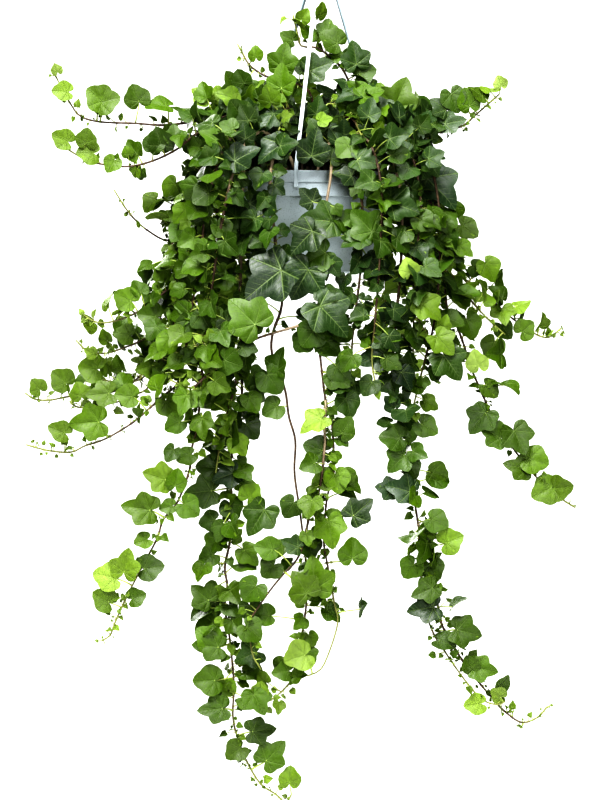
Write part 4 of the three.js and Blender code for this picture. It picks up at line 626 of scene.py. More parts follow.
class Trace:
    """Closely spaced points along a smooth curve through a route, and the length up to each."""

    def __init__(self, route, steps=8):
        corners = np.array(route, float)
        ends = [2 * corners[0] - corners[1], 2 * corners[-1] - corners[-2]]
        held = np.vstack([ends[0], corners, ends[1]])
        u = np.arange(steps)[:, None] / steps
        spans = []
        for i in range(1, len(held) - 2):
            a, b = held[i], held[i + 1]
            slope_a, slope_b = (b - held[i - 1]) / 2, (held[i + 2] - a) / 2
            bend = -3 * a + 3 * b - 2 * slope_a - slope_b
            rise = 2 * a - 2 * b + slope_a + slope_b
            spans.append(a + slope_a * u + bend * u**2 + rise * u**3)
        self.points = np.vstack([*spans, corners[-1]])
        chords = np.linalg.norm(np.diff(self.points, axis=0), axis=1)
        self.lengths = np.concatenate([[0], np.cumsum(chords)])
        self.total = self.lengths[-1]

    def at(self, length):
        """The point at a length along the curve, and the direction there."""
        i = int(np.searchsorted(self.lengths, length))
        i = clamp(i, 1, len(self.lengths) - 1)
        before, after = self.points[i - 1], self.points[i]
        share = (length - self.lengths[i - 1]) / (self.lengths[i] - self.lengths[i - 1])
        return mix(before, after, share), unit(after - before)


def crown_stem(index):
    """A short stem that arches out of the crown."""
    stream = started(CROWN_SEED + index)
    azimuth = CROWN["first"] + 360 / CROWN["count"] * index
    reach = CROWN["reach"] * (0.9 + 0.25 * next(stream))
    lift = 0.88 + 0.24 * next(stream)
    sway = 16 * (next(stream) - 0.5)
    route = [around_pot(CROWN["root"], azimuth, SOIL_Z)]
    for share, height in CROWN["profile"]:
        route.append(around_pot(reach * share, azimuth + sway * share, SOIL_Z + height * lift))
    return stem_of(f"crown_{index + 1}", CROWN["size"], CROWN["spacing"], route)


def back_stem(index):
    """A short stem that hangs down the back."""
    stream = started(BACK_SEED + index)
    azimuth = BACK["azimuths"][index]
    reach = BACK["reach"] * (0.92 + 0.16 * next(stream))
    sway = 14 * (next(stream) - 0.5)
    low = RIM_Z - BACK["drops"][index]
    route = [
        around_pot(BACK["roots"][index % 2], azimuth, SOIL_Z),
        around_pot(0.7 * reach, azimuth, SOIL_Z + 50 + 10 * (index % 2)),
        around_pot(0.93 * reach, azimuth, RIM_Z - 8),
        around_pot(reach, azimuth + 0.4 * sway, mix(RIM_Z - 8, low, 0.45)),
        around_pot(0.97 * reach, azimuth + sway, low),
    ]
    return stem_of(f"back_{index + 1}", BACK["size"], BACK["spacing"], route)


# Leaves

def is_rooted(route):
    return route[0][2] == SOIL_Z


def on_midrib(leaf, share=0.5):
    """A point on the straight line from a blade's base to its apex."""
    return leaf["base"] + share * leaf["size"] * leaf["along"]


def leaves_along(stem, index, trace, seed):
    """The leaves of one route in order, by the rule that also sets them in the model."""
    stream = started(seed)
    bare = [(low, high) for bare_index, low, high in stem["bare"] if bare_index == index]
    leaves = []
    length = FIRST_LEAF if is_rooted(stem["routes"][index]) else FIRST_SHOOT_LEAF
    while length < trace.total - 1:
        draw = [next(stream) for _ in range(12)]
        point, tangent = trace.at(length)
        share = length / trace.total
        tip_shrink = clamp((trace.total - length) / SHRINKING_LENGTH + 0.4, 0.4, 1)
        vigour = 0.45 + draw[0] if draw[0] < 0.25 else 0.72 + 0.5 * draw[0]
        size = mix(*stem["size"], share) * vigour * tip_shrink
        if share > stem["buds_from"].get(index, 1):
            size *= BUD_SHARE
        turn = vector(draw[1], draw[2], draw[3]) - 0.5
        wander = vector(draw[10], draw[11], draw[6]) - 0.5

        away = vector(point[0] - POT_X, point[1], 0)
        spread = min(1, np.linalg.norm(away) / CROWN_RADIUS)
        to_front = clamp(0.5 - point[1] / 80, -1, 1)
        level = math.sqrt(max(0, 1 - tangent[2] ** 2))
        facing = unit(
            unit(away) * 0.35 * spread + UP * (0.85 - 0.4 * spread) * (1 - 0.6 * level * spread)
            + vector(0, -0.55 * to_front, 0) + 1.3 * turn
        )
        side = (0.35 + 0.5 * draw[7]) * (1 if len(leaves) % 2 else -1)
        stalk = unit(
            unit(np.cross(tangent, facing)) * side + UP * 0.95 * level + facing * 0.45
            + tangent * 0.25 + turn * 0.4
        )
        along = stalk * 0.9 - UP * (0.35 + 0.4 * draw[4]) * (1 - 0.8 * level) + wander
        along = unit(along - 0.75 * along.dot(facing) * facing)
        facing = unit(facing - facing.dot(along) * along)
        stalk = unit(stalk + 0.35 * along)

        outline = "five" if size > LARGE_LEAF and draw[6] < 0.5 else "three"
        if outline == "three" and draw[2] > 0.45:
            outline = "broad"
        if size < YOUNG_LEAF:
            outline = "young"
        if not any(low < point[2] < high for low, high in bare):
            reach = clamp(size * (0.45 + 0.8 * draw[5]), *STALK_LENGTHS)
            leaves.append({
                "root": point, "base": point + stalk * reach, "along": along, "facing": facing,
                "size": size, "outline": outline, "fold": 0.1 + 0.28 * draw[7],
                "droop": 0.04 + 0.2 * draw[8], "length": length, "left": trace.total - length,
            })
        length += mix(*stem["spacing"], share) * (0.75 + 0.5 * draw[9])
    return leaves


def small_leaves(leaves, trace, dice):
    """The small leaves of the buds beside the stalks, up to three beside each."""
    small = []
    for leaf in leaves:
        for chance in SMALL_LEAF_CHANCES:
            if dice.random() > chance:
                continue
            facing = unit(leaf["facing"] + dice.uniform(-0.7, 0.7, 3))
            along = unit(dice.uniform(-1, 1, 3) - UP * 0.2)
            along = unit(along - 0.8 * along.dot(facing) * facing)
            length = clamp(leaf["length"] + dice.uniform(-5, 5), 0, trace.total)
            point = trace.at(length)[0]
            size = leaf["size"] * dice.uniform(0.32, 0.7)
            small.append({
                "root": point, "base": point + unit(along + 0.5 * facing) * (4 + 0.3 * size),
                "along": along, "facing": unit(facing - facing.dot(along) * along),
                "size": size, "outline": "young" if size < YOUNG_LEAF else "three",
                "fold": dice.uniform(0.1, 0.5), "droop": dice.uniform(0, 0.25),
                "left": leaf["left"] * 0.8, "length": length,
            })
    return small


def placed_leaf(traces, base, apex, facing, age):
    """A leaf of the tables, with its stalk from the nearest point of its stem."""
    base = vector(*base)
    along = vector(*apex) - base
    size = np.linalg.norm(along)
    along = along / size
    facing = vector(*facing)
    facing = unit(facing - facing.dot(along) * along)
    points = np.vstack([trace.points for trace in traces])
    root = points[np.linalg.norm(points - base, axis=1).argmin()]
    return {
        "root": root, "base": base, "along": along, "facing": facing, "size": size,
        "outline": "five" if size > 30 or age > 0.7 else "broad", "fold": 0.2, "droop": 0.1,
        "age": age, "shade": 0,
    }


PLACED_SPOTS = [
    (0.5 * (vector(*base) + vector(*apex)), np.linalg.norm(vector(*base) - vector(*apex)))
    for placings in PLACED_LEAVES.values()
    for base, apex, _, _ in placings
]


def is_in_the_way(leaf):
    """True where a leaf would fill a gap in the plant, or hide one of the placed leaves."""
    middle = on_midrib(leaf, 0.45)
    margin = 0.3 * leaf["size"]
    for west, east, bottom, top, back in GAPS:
        across = west - margin < middle[0] < east + margin
        upright = bottom - margin < middle[2] < top + margin
        if across and upright and middle[1] < back:
            return True
    for spot, size in PLACED_SPOTS:
        aside = math.hypot(middle[0] - spot[0], middle[2] - spot[2])
        if middle[1] < spot[1] + 4 and aside < 0.42 * size + margin:
            return True
    return False


def is_blocked(leaf):
    """True where a leaf would pass through the pot, reach a strap or stand out at the back."""
    boss = vector(0, 0, BOSS["bottom"])
    for share in (0, 0.5, 1):
        point = on_midrib(leaf, share)
        beside_pot = POT_FOOT[2] - END_CLEARANCE < point[2] < RIM_Z + END_CLEARANCE
        from_axis = math.hypot(point[0] - POT_X, point[1])
        if beside_pot and from_axis < RIM_RADIUS + RIM_CLEARANCE or point[1] > FURTHEST_BACK:
            return True
        for azimuth in STRAP_AZIMUTHS:
            line = vector(*around_pot(RIM_RADIUS, azimuth, RIM_Z)) - boss
            share_along = clamp((point - boss).dot(line) / line.dot(line), 0, 1)
            if np.linalg.norm(point - boss - share_along * line) < STRAP_CLEARANCE:
                return True
    return False


# Meshes

def linked(name, data):
    """A new object in the scene."""
    obj = bpy.data.objects.new(name, data)
    bpy.context.scene.collection.objects.link(obj)
    return obj


class Shape:
    """The points and faces of one mesh, gathered part by part, with what its materials read."""

    def __init__(self):
        self.points, self.faces, self.materials = [], [], []
        self.blade, self.look, self.rim = [], [], []
        self.count = 0

    def add(self, points, faces, material, blade, look, rim):
        self.points.append(points)
        for corners in faces:
            self.faces.extend((np.asarray(corners) + self.count).tolist())
            self.materials.extend([material] * len(corners))
        self.blade.append(blade)
        self.look.append(look)
        self.rim.append(rim)
        self.count += len(points)

    def made(self, name, materials):
        mesh = bpy.data.meshes.new(name)
        mesh.from_pydata((np.vstack(self.points) * MM).tolist(), [], self.faces)
        for material in materials:
            mesh.materials.append(material)
        mesh.polygons.foreach_set("material_index", self.materials)
        mesh.shade_smooth()
        for key, values in (("blade", self.blade), ("look", self.look)):
            layer = mesh.attributes.new(key, "FLOAT_VECTOR", "POINT")
            layer.data.foreach_set("vector", np.vstack(values).astype(np.float32).ravel())
        rim = np.concatenate(self.rim)
        edges = np.empty(len(mesh.edges) * 2, np.int32)
        mesh.edges.foreach_get("vertices", edges)
        sharp = rim[edges.reshape(-1, 2)].all(axis=1)
        layer = mesh.attributes.new("sharp_edge", "BOOLEAN", "EDGE")
        layer.data.foreach_set("value", sharp)
        return linked(name, mesh)


def lobe_fall(u, pointed):
    """How far the margin has come from a lobe, at u 0, to the notch beside it, at u 1."""
    return mix(u**1.7, 1 - (1 - u) ** 1.5, pointed)


def half_outline(kind, steps):
    """Angles in degrees and radii from the apex round to the notch beside the stalk."""
    angles, radii = [], []
    corners = OUTLINES[kind]
    for (a, r, pointed), (b, s, next_pointed) in zip(corners, corners[1:]):
        for step in range(steps):
            u = step / steps
            if pointed is not None:
                eased = lobe_fall(u, pointed)
            elif next_pointed is not None:
                eased = 1 - lobe_fall(1 - u, next_pointed)
            else:
                eased = 0.5 - 0.5 * math.cos(math.pi * u)
            angles.append(mix(a, b, u))
            radii.append(mix(r, s, eased))
    return [*angles, corners[-1][0]], [*radii, corners[-1][1]]


def blade_pattern(kind, steps, rings):
    """Unit blade: angle, radius and ring share of each point, its faces, and its margin."""
    angles, radii = half_outline(kind, steps)
    angle = np.radians(np.concatenate([-np.array(angles[:0:-1]), angles]))
    radius = np.concatenate([radii[:0:-1], radii])
    rays = len(angle)
    ring = np.repeat(rings, rays)
    angle_all = np.concatenate([[0], np.tile(angle, len(rings))])
    radius_all = np.concatenate([[0], np.tile(radius, len(rings)) * ring])
    share_all = np.concatenate([[0], ring])

    fan = [(0, 2 + i, 1 + i) for i in range(rays - 1)]
    bands = []
    for j in range(len(rings) - 1):
        for i in range(rays - 1):
            a = 1 + j * rays + i
            bands.append((a, a + 1, a + 1 + rays, a + rays))
    first = [1 + j * rays for j in range(len(rings))]
    last = [(j + 1) * rays for j in range(len(rings))]
    outer = 1 + (len(rings) - 1) * rays
    loop = [0, *first, *range(outer + 1, outer + rays - 1), *last[::-1]]
    return angle_all, radius_all, share_all, fan, bands, loop


PATTERNS = {}


def pattern_of(leaf):
    steps, rings = next((s, r) for least, s, r in DETAILS if leaf["size"] >= least)
    key = (leaf["outline"], steps, rings)
    if key not in PATTERNS:
        angle, radius, share, fan, bands, loop = blade_pattern(*key)
        count = len(angle)
        edge = [(a, b, b + count, a + count) for a, b in zip(loop, [*loop[1:], loop[0]])]
        faces_3 = fan + [(a + count, c + count, b + count) for a, b, c in fan]
        faces_4 = bands + [tuple(x + count for x in quad[::-1]) for quad in bands] + edge
        rim = np.zeros(2 * count, bool)
        rim[loop] = True
        rim[np.array(loop) + count] = True
        PATTERNS[key] = angle, radius, share, faces_3, faces_4, rim
    return PATTERNS[key]


def add_blade(shape, leaf, dice):
    angle, radius, share, faces_3, faces_4, rim = pattern_of(leaf)
    size = BLADE_SHARE * leaf["size"]
    uneven = 1 + 0.05 * np.sin(2 * angle + 6.3 * dice.random()) * dice.uniform(-1, 1)
    widen = dice.uniform(0.84, 1.02)
    x = np.sin(angle) * radius * uneven * widen
    y = np.cos(angle) * radius * uneven

    off_vein = np.abs(np.degrees(np.abs(angle))[:, None] - VEIN_ANGLES).min(axis=1)
    pillow = (1 - np.exp(-((off_vein / 13) ** 2))) * share * (1 - share**2)
    wave = np.sin(3 * angle + 6.3 * dice.random()) * share**3
    tip = np.maximum(0, y - 0.5) ** 2
    height = (
        (leaf["fold"] + dice.uniform(-0.08, 0.14)) * np.abs(x)
        - leaf["droop"] * (y**2 + 0.5 * x**2)
        + 0.09 * pillow + dice.uniform(0.02, 0.08) * wave
        - dice.uniform(-0.1, 0.5) * tip + dice.uniform(-0.35, 0.35) * x * y
    )
    across = np.cross(leaf["along"], leaf["facing"])
    top = leaf["base"] + size * (
        x[:, None] * across + y[:, None] * leaf["along"] + height[:, None] * leaf["facing"]
    )
    thickness = mix(BLADE_THICKNESS, MARGIN_THICKNESS, share**2)[:, None]
    bottom = top - thickness * leaf["facing"]
    flat = np.stack([x, y, np.full(len(x), size)], 1)
    # A random tone, less the leaf's painted shade
    tone = dice.random() - leaf["shade"]
    look = np.tile([leaf["age"], tone, 0.0], (2 * len(x), 1))
    look[len(x):, 2] = 1
    corners, blade = np.vstack([top, bottom]), np.vstack([flat, flat])
    shape.add(corners, [faces_3, faces_4], BLADE, blade, look, rim)


def walls(rings, sides):
    """The faces between neighbours in a row of rings of points."""
    faces = []
    for start in range(0, (rings - 1) * sides, sides):
        for side in range(sides):
            a, b = start + side, start + (side + 1) % sides
            faces.append((a, b, b + sides, a + sides))
    return faces


def tube(points, radii, sides):
    """A closed tube's points, faces and ends."""
    points = np.asarray(points, float)
    count = len(points)
    tangent = np.gradient(points, axis=0)
    tangent /= np.linalg.norm(tangent, axis=1)[:, None]
    across = vector(1, 0, 0) if abs(tangent[0][0]) < 0.8 else vector(0, 1, 0)
    turn = turns(sides)
    rings = []
    for i in range(count):
        across = unit(across - across.dot(tangent[i]) * tangent[i])
        other = np.cross(tangent[i], across)
        rings.append(
            points[i] + radii[i] * (np.cos(turn)[:, None] * across + np.sin(turn)[:, None] * other)
        )
    last = (count - 1) * sides
    ends = [tuple(range(sides))[::-1], tuple(range(last, last + sides))]
    return np.vstack(rings), walls(count, sides), ends


def add_tube(shape, points, radii, sides, material, age=0.5, tone=0.5):
    corners, faces, ends = tube(points, radii, sides)
    count = len(corners)
    share = np.repeat(np.linspace(0, 1, len(points)), sides)
    blade = np.stack([share, np.zeros(count), np.zeros(count)], 1)
    look = np.stack([np.full(count, age), np.full(count, tone), np.zeros(count)], 1)
    shape.add(corners, [faces, ends], material, blade, look, np.zeros(count, bool))


def add_stalk(shape, leaf, dice):
    """The petiole: it leaves the stem at an angle, arches, and runs in under the blade."""
    reach = np.linalg.norm(leaf["base"] - leaf["root"])
    if reach < 1:
        return
    start, end = leaf["root"], leaf["base"] + leaf["along"] * 1.2 - leaf["facing"] * 0.5
    lift = start + (end - start) * 0.35 + (leaf["facing"] * 0.6 + UP * 0.4) * 0.16 * reach
    inward = end - leaf["along"] * 0.28 * reach - leaf["facing"] * 0.03 * reach
    small = leaf["size"] < SMALL_LEAF
    u = np.linspace(0, 1, 5 if small else 7)[:, None]
    points = (
        start * (1 - u) ** 3 + 3 * lift * u * (1 - u) ** 2
        + 3 * inward * u**2 * (1 - u) + end * u**3
    )
    thick = clamp(leaf["size"] / 26, 0.6, 1.35)
    radii = thick * (0.74 + 0.36 * (1 - u[:, 0]) ** 3)
    add_tube(shape, points, radii, 4 if small else 5, STALK, leaf["age"], dice.random())


def add_stem(shape, trace, rooted, leaves):
    """The stem of one route, with a swelling at each leaf."""
    marks = [*np.arange(0, trace.total, RING_STEP), trace.total]
    nodes = np.array([leaf["length"] for leaf in leaves] or [OUT_OF_REACH])
    for node in nodes:
        marks.extend([node - SWELLING, node, node + SWELLING])
    marks = sorted({round(clamp(mark, 0, trace.total), 2) for mark in marks})
    kept = [marks[0]]
    for mark in marks[1:]:
        if mark - kept[-1] > LEAST_RING_STEP:
            kept.append(mark)
    points = [trace.at(mark)[0] for mark in kept]
    foot = STEM_FOOT_RADIUS if rooted else SHOOT_FOOT_SHARE * STEM_FOOT_RADIUS
    radii = []
    for mark in kept:
        near = np.abs(nodes - mark).min()
        radii.append(
            mix(foot, STEM_TIP_RADIUS, (mark / trace.total) ** 0.7)
            * (0.9 + 0.3 * math.exp(-((near / 1.5) ** 2)))
        )
    if rooted:
        points.insert(0, points[0] - UP * ROOT_DEPTH)
        radii.insert(0, foot)
    add_tube(shape, points, radii, 6, STEM)


# Where leaves get a dark colour, each with its reach: old leaves in the dome and on the front trails,
# and painted shade beside the pot and at the back
OLD_AND_SHADED_PLACES = [
    ((-62, -90, -300), 95), ((85, -80, -300), 100), ((15, -60, -265), 110),
    ((-26, -160, -455), 90), ((80, -125, -470), 84), ((95, -125, -590), 80),
    ((-60, -110, -370), 75), ((-12, 60, -280), 120),
]


def age_of(leaf, dice):
    """0 for the youngest lime-green leaf, up to 1 for the oldest, dark and bluish."""
    middle = on_midrib(leaf)
    # Near these places the colour gets older and darker, partly as painted shade
    dark = max(
        math.exp(-((np.linalg.norm(middle - place) / reach) ** 2))
        for place, reach in OLD_AND_SHADED_PLACES
    )
    age = 0.47 + 0.46 * dark + 0.24 * (dice.random() - 0.5)
    if leaf["size"] < 15:
        age -= 0.1
    return clamp(age * clamp(leaf["left"] / PALING_LENGTH + 0.25, 0.25, 1), 0.02, 1)


def shade_of(leaf):
    """0 for a leaf on the outside of the plant, up to 1 for one deep inside it: the painted shade that
    darkens its colour.
    """
    middle = on_midrib(leaf)
    out = math.hypot(middle[0] - POT_X, middle[1]) / PAINTED_SHADE_RADIUS
    up = max(0, middle[2] - PAINTED_SHADE_Z) / PAINTED_SHADE_HEIGHT
    return clamp((0.74 - out**2 - up**2) / 0.25, 0, 1)


# The pot, the soil and the hanger

def rounded(corners, steps=3):
    """Points along an outline from its corners, each (across, up, length that rounding takes)."""
    points = [vector(*corners[0][:2])]
    for before, (x, z, cut), after in zip(corners, corners[1:], corners[2:]):
        corner = vector(x, z)
        start = corner + cut * unit(vector(*before[:2]) - corner)
        end = corner + cut * unit(vector(*after[:2]) - corner)
        for u in np.linspace(0, 1, steps + 1) if cut else [0]:
            points.append(rounding(start, corner, end, u))
    points.append(vector(*corners[-1][:2]))
    return points


def turned(profile, sides):
    """Points and faces of the solid that a profile from axis to axis sweeps round it."""
    turn = turns(sides)
    rings = [
        np.stack([r * np.cos(turn), r * np.sin(turn), np.full(sides, z)], 1)
        for r, z in profile[1:-1]
    ]
    points = np.vstack([*rings, [(0, 0, profile[0][1])], [(0, 0, profile[-1][1])]])
    low, high, last = len(points) - 2, len(points) - 1, (len(rings) - 1) * sides
    faces = []
    for side in range(sides):
        after = (side + 1) % sides
        faces.append((low, after, side))
        faces.append((high, last + side, last + after))
        for i in range(0, last, sides):
            faces.append((i + side, i + after, i + after + sides, i + side + sides))
    return points, faces


def merged(parts):
    """The points and faces of several closed parts as those of one."""
    points, faces, count = [], [], 0
    for part_points, part_faces in parts:
        points.append(part_points)
        faces.extend(tuple(corner + count for corner in face) for face in part_faces)
        count += len(part_points)
    return np.vstack(points), faces


def solid_object(name, points, faces):
    mesh = bpy.data.meshes.new(name)
    mesh.from_pydata((np.asarray(points) * MM).tolist(), [], faces)
    work = bmesh.new()
    work.from_mesh(mesh)
    bmesh.ops.recalc_face_normals(work, faces=work.faces)
    work.to_mesh(mesh)
    work.free()
    return linked(name, mesh)


def finished(obj, material, node, crease=34):
    """A moulded piece, smooth but for edges that turn by more degrees than the crease."""
    obj.data.materials.append(material)
    obj.data.shade_smooth()
    obj.data.set_sharp_from_angle(angle=math.radians(crease))
    place_piece(obj, node)


def make_pot(material):
    """The moulded shell: rim band, second band, tapering body, and a floor with drain holes."""
    outside = [
        (0, FLOOR - 1.2, 0), (BASE_RADIUS - 14, FLOOR - 1.2, 0.5), (BASE_RADIUS - 12.8, 0, 0.4),
        (BASE_RADIUS - 0.4, 0, 1.8), (BODY_RADIUS, POT_HEIGHT - SHOULDER_BAND - 0.6, 0.3),
        (SHOULDER_RADIUS, POT_HEIGHT - SHOULDER_BAND, 0.6),
        (SHOULDER_RADIUS + 0.2, POT_HEIGHT - RIM_BAND - 0.7, 0.4),
        (RIM_RADIUS, POT_HEIGHT - RIM_BAND, 0.9), (RIM_RADIUS, POT_HEIGHT, 0.8),
    ]
    inside = [
        (RIM_RADIUS - WALL, POT_HEIGHT, 0.8), (RIM_RADIUS - WALL, POT_HEIGHT - RIM_BAND + 1, 0.9),
        (SHOULDER_RADIUS - WALL, POT_HEIGHT - RIM_BAND - 1, 0.9),
        (SHOULDER_RADIUS - WALL, POT_HEIGHT - SHOULDER_BAND + 1, 0.9),
        (BODY_RADIUS - WALL, POT_HEIGHT - SHOULDER_BAND - 2.5, 0.9),
        (BASE_RADIUS - WALL, FLOOR, 3), (0, FLOOR, 0),
    ]
    points, faces = turned(rounded([*outside, *inside]), 112)
    pot = solid_object("flower_pot", points + POT_FOOT, faces)

    hole = [(0, -4), (DRAIN_HOLE["radius"], -4), (DRAIN_HOLE["radius"], 6), (0, 6)]
    points, faces = turned(hole, 24)
    drills = []
    for angle in turns(DRAIN_HOLE["count"]):
        spot = DRAIN_HOLE["circle"] * vector(math.cos(angle), math.sin(angle), 0)
        drills.append((points + spot + POT_FOOT, faces))
    drill = solid_object("drill", *merged(drills))
    cut = pot.modifiers.new("drain_holes", "BOOLEAN")
    cut.operation = "DIFFERENCE"
    cut.solver = "EXACT"
    cut.object = drill
    seen = pot.evaluated_get(bpy.context.evaluated_depsgraph_get())
    mesh = bpy.data.meshes.new_from_object(seen)
    pot.modifiers.clear()
    pot.data = mesh
    bpy.data.objects.remove(drill)
    finished(pot, material, "pot")


def make_soil(material):
    """A plug of potting soil with an uneven top and crumbs and bits of bark on it."""
    dice = np.random.default_rng(SOIL_SEED)
    inset = WALL + 2 * GAP
    top = SHOULDER_RADIUS - WALL - 2 * GAP
    level = SOIL_Z - RIM_Z + POT_HEIGHT
    profile = [
        (0, FLOOR + GAP), (BASE_RADIUS - inset, FLOOR + GAP),
        (BODY_RADIUS - inset, POT_HEIGHT - SHOULDER_BAND - 3),
        (top, POT_HEIGHT - SHOULDER_BAND + 0.5), (top, level - 2),
        *[(r, level - 0.2) for r in [*np.arange(top - 3, 2, -3), 0]],
    ]
    points, faces = turned(profile, 90)
    points = points + POT_FOOT
    for point in points:
        if point[2] > SOIL_Z - 1:
            lumps = noise.noise(Vector(point * 0.09)) + 0.6 * noise.noise(Vector(point * 0.31))
            point[2] += 1.3 * lumps
    parts = [(points, faces)]

    ball = bmesh.new()
    bmesh.ops.create_icosphere(ball, subdivisions=1, radius=1)
    round_points = np.array([vert.co for vert in ball.verts])
    round_faces = [tuple(vert.index for vert in face.verts) for face in ball.faces]
    ball.free()
    for _ in range(CRUMBS):
        radius, azimuth = top * 0.97 * math.sqrt(dice.random()), 360 * dice.random()
        size = dice.uniform(0.5, 2.3) * vector(*dice.uniform(0.5, 1.2, 3))
        rough = round_points * dice.uniform(0.75, 1.15, (len(round_points), 1)) * size
        tilt = np.linalg.qr(dice.normal(size=(3, 3)))[0]
        parts.append((rough @ tilt + vector(*around_pot(radius, azimuth, SOIL_Z + 0.2)),
                      round_faces))
    finished(solid_object("potting_soil", *merged(parts)), material, "soil", 50)


def make_hook(material):
    """A moulded J hook on a round boss."""
    middle = HOOK["inner"] + HOOK["rod"] / 2
    route = [(0, 0, BOSS["top"] - 4), (0.15 * middle, 0, BOSS["top"] + 6),
             (0.8 * middle, 0, BOSS["top"] + 22)]
    for angle in np.radians(np.arange(0, 181, 20)):
        route.append((middle * math.cos(angle), 0, middle * math.sin(angle) - HOOK["inner"]))
    route.append((-middle - 1, 0, -HOOK["inner"] - HOOK["tip"] + 0.9))
    points = Trace(route, 3).points
    tip = points[-1] - UP * 0.7, points[-1] - UP
    radii = [HOOK["rod"] / 2] * len(points) + [HOOK["rod"] * 0.38, HOOK["rod"] * 0.12]
    corners, faces, ends = tube([*points, *tip], radii, 16)
    boss = rounded([
        (0, BOSS["bottom"], 0), (BOSS["radius"], BOSS["bottom"], 0.9),
        (BOSS["radius"], BOSS["bottom"] + 5, 1.4), (HOOK["rod"], BOSS["top"] - 1, 1.2),
        (HOOK["rod"] * 0.6, BOSS["top"], 0.5), (0, BOSS["top"], 0),
    ])
    parts = [turned(boss, 40), (corners, [*faces, *ends])]
    finished(solid_object("hanger_hook", *merged(parts)), material, "hook")


# A strap's section: shares of its half width and of its thickness, from its inner face out, and
# 1 for a corner that the groove sinks
STRAP_SECTION = [
    (-0.84, 0, 0), (0.84, 0, 0), (1, 0.3, 0), (1, 0.75, 0), (0.86, 1, 0), (0.5, 1, 0),
    (0.34, 1, 1), (-0.34, 1, 1), (-0.5, 1, 0), (-0.86, 1, 0), (-1, 0.75, 0), (-1, 0.3, 0),
]
GROOVE = 0.35  # its depth, as a share of the thickness


def make_strap(number, azimuth, material):
    """A grooved strip from the boss to the rim, with a catch that grips under the rim band."""
    foot = vector(*around_pot(RIM_RADIUS, azimuth, RIM_Z))
    reach = math.hypot(foot[0], foot[1]) + GAP
    outward = unit(vector(foot[0], foot[1], 0))
    sideways = np.cross(UP, outward)
    thick = STRAP["thick"]
    half = STRAP["width"] / 2
    head, shoulder = vector(4.3, BOSS["bottom"] + 1), vector(reach, RIM_Z + 1.5)
    slope = unit(shoulder - head)
    face = vector(-slope[1], slope[0])
    low = RIM_Z - STRAP["reach"]
    catch = RIM_Z - RIM_BAND - 1.6

    stations = [(head, face * thick * 1.1, half, 1), (head + 90 * slope, face * thick, half, 1),
                (head + 180 * slope, face * thick, half, 1)]
    for u in np.linspace(0, 1, 6):
        before, after = shoulder - 5 * slope, shoulder - vector(0, 5)
        inner = rounding(before, shoulder, after, u)
        stations.append((inner, unit(mix(face, vector(1, 0), u)) * thick, half, 1))
    for z, inset, wide, groove in [
        (RIM_Z - 11, 0, 0, 1), (RIM_Z - 11.8, 0, 0.3, 0.4), (RIM_Z - 12.4, 0, 0.45, 0),
        (catch, 0, 0.45, 0), (catch - 0.9, 1.1, 0.45, 0), (low + 1.2, 1.2, 0.45, 0),
        (low + 0.3, 1.0, 0.35, 0), (low, 0.6, 0, 0),
    ]:
        stations.append((vector(reach - inset, z), vector(thick + inset, 0), half + wide, groove))

    points = []
    for inner, through, width, groove in stations:
        for across, depth, sunk in STRAP_SECTION:
            spot = inner + through * (depth - GROOVE * sunk * groove)
            points.append(spot[0] * outward + spot[1] * UP + across * width * sideways)
    count = len(STRAP_SECTION)
    caps = [tuple(range(count)), tuple(range(len(points) - count, len(points)))]
    faces = [*caps, *walls(len(stations), count)]
    strap = solid_object(f"hanger_strap_{number}", points, faces)
    finished(strap, material, f"strap_{number}", 40)


# Materials

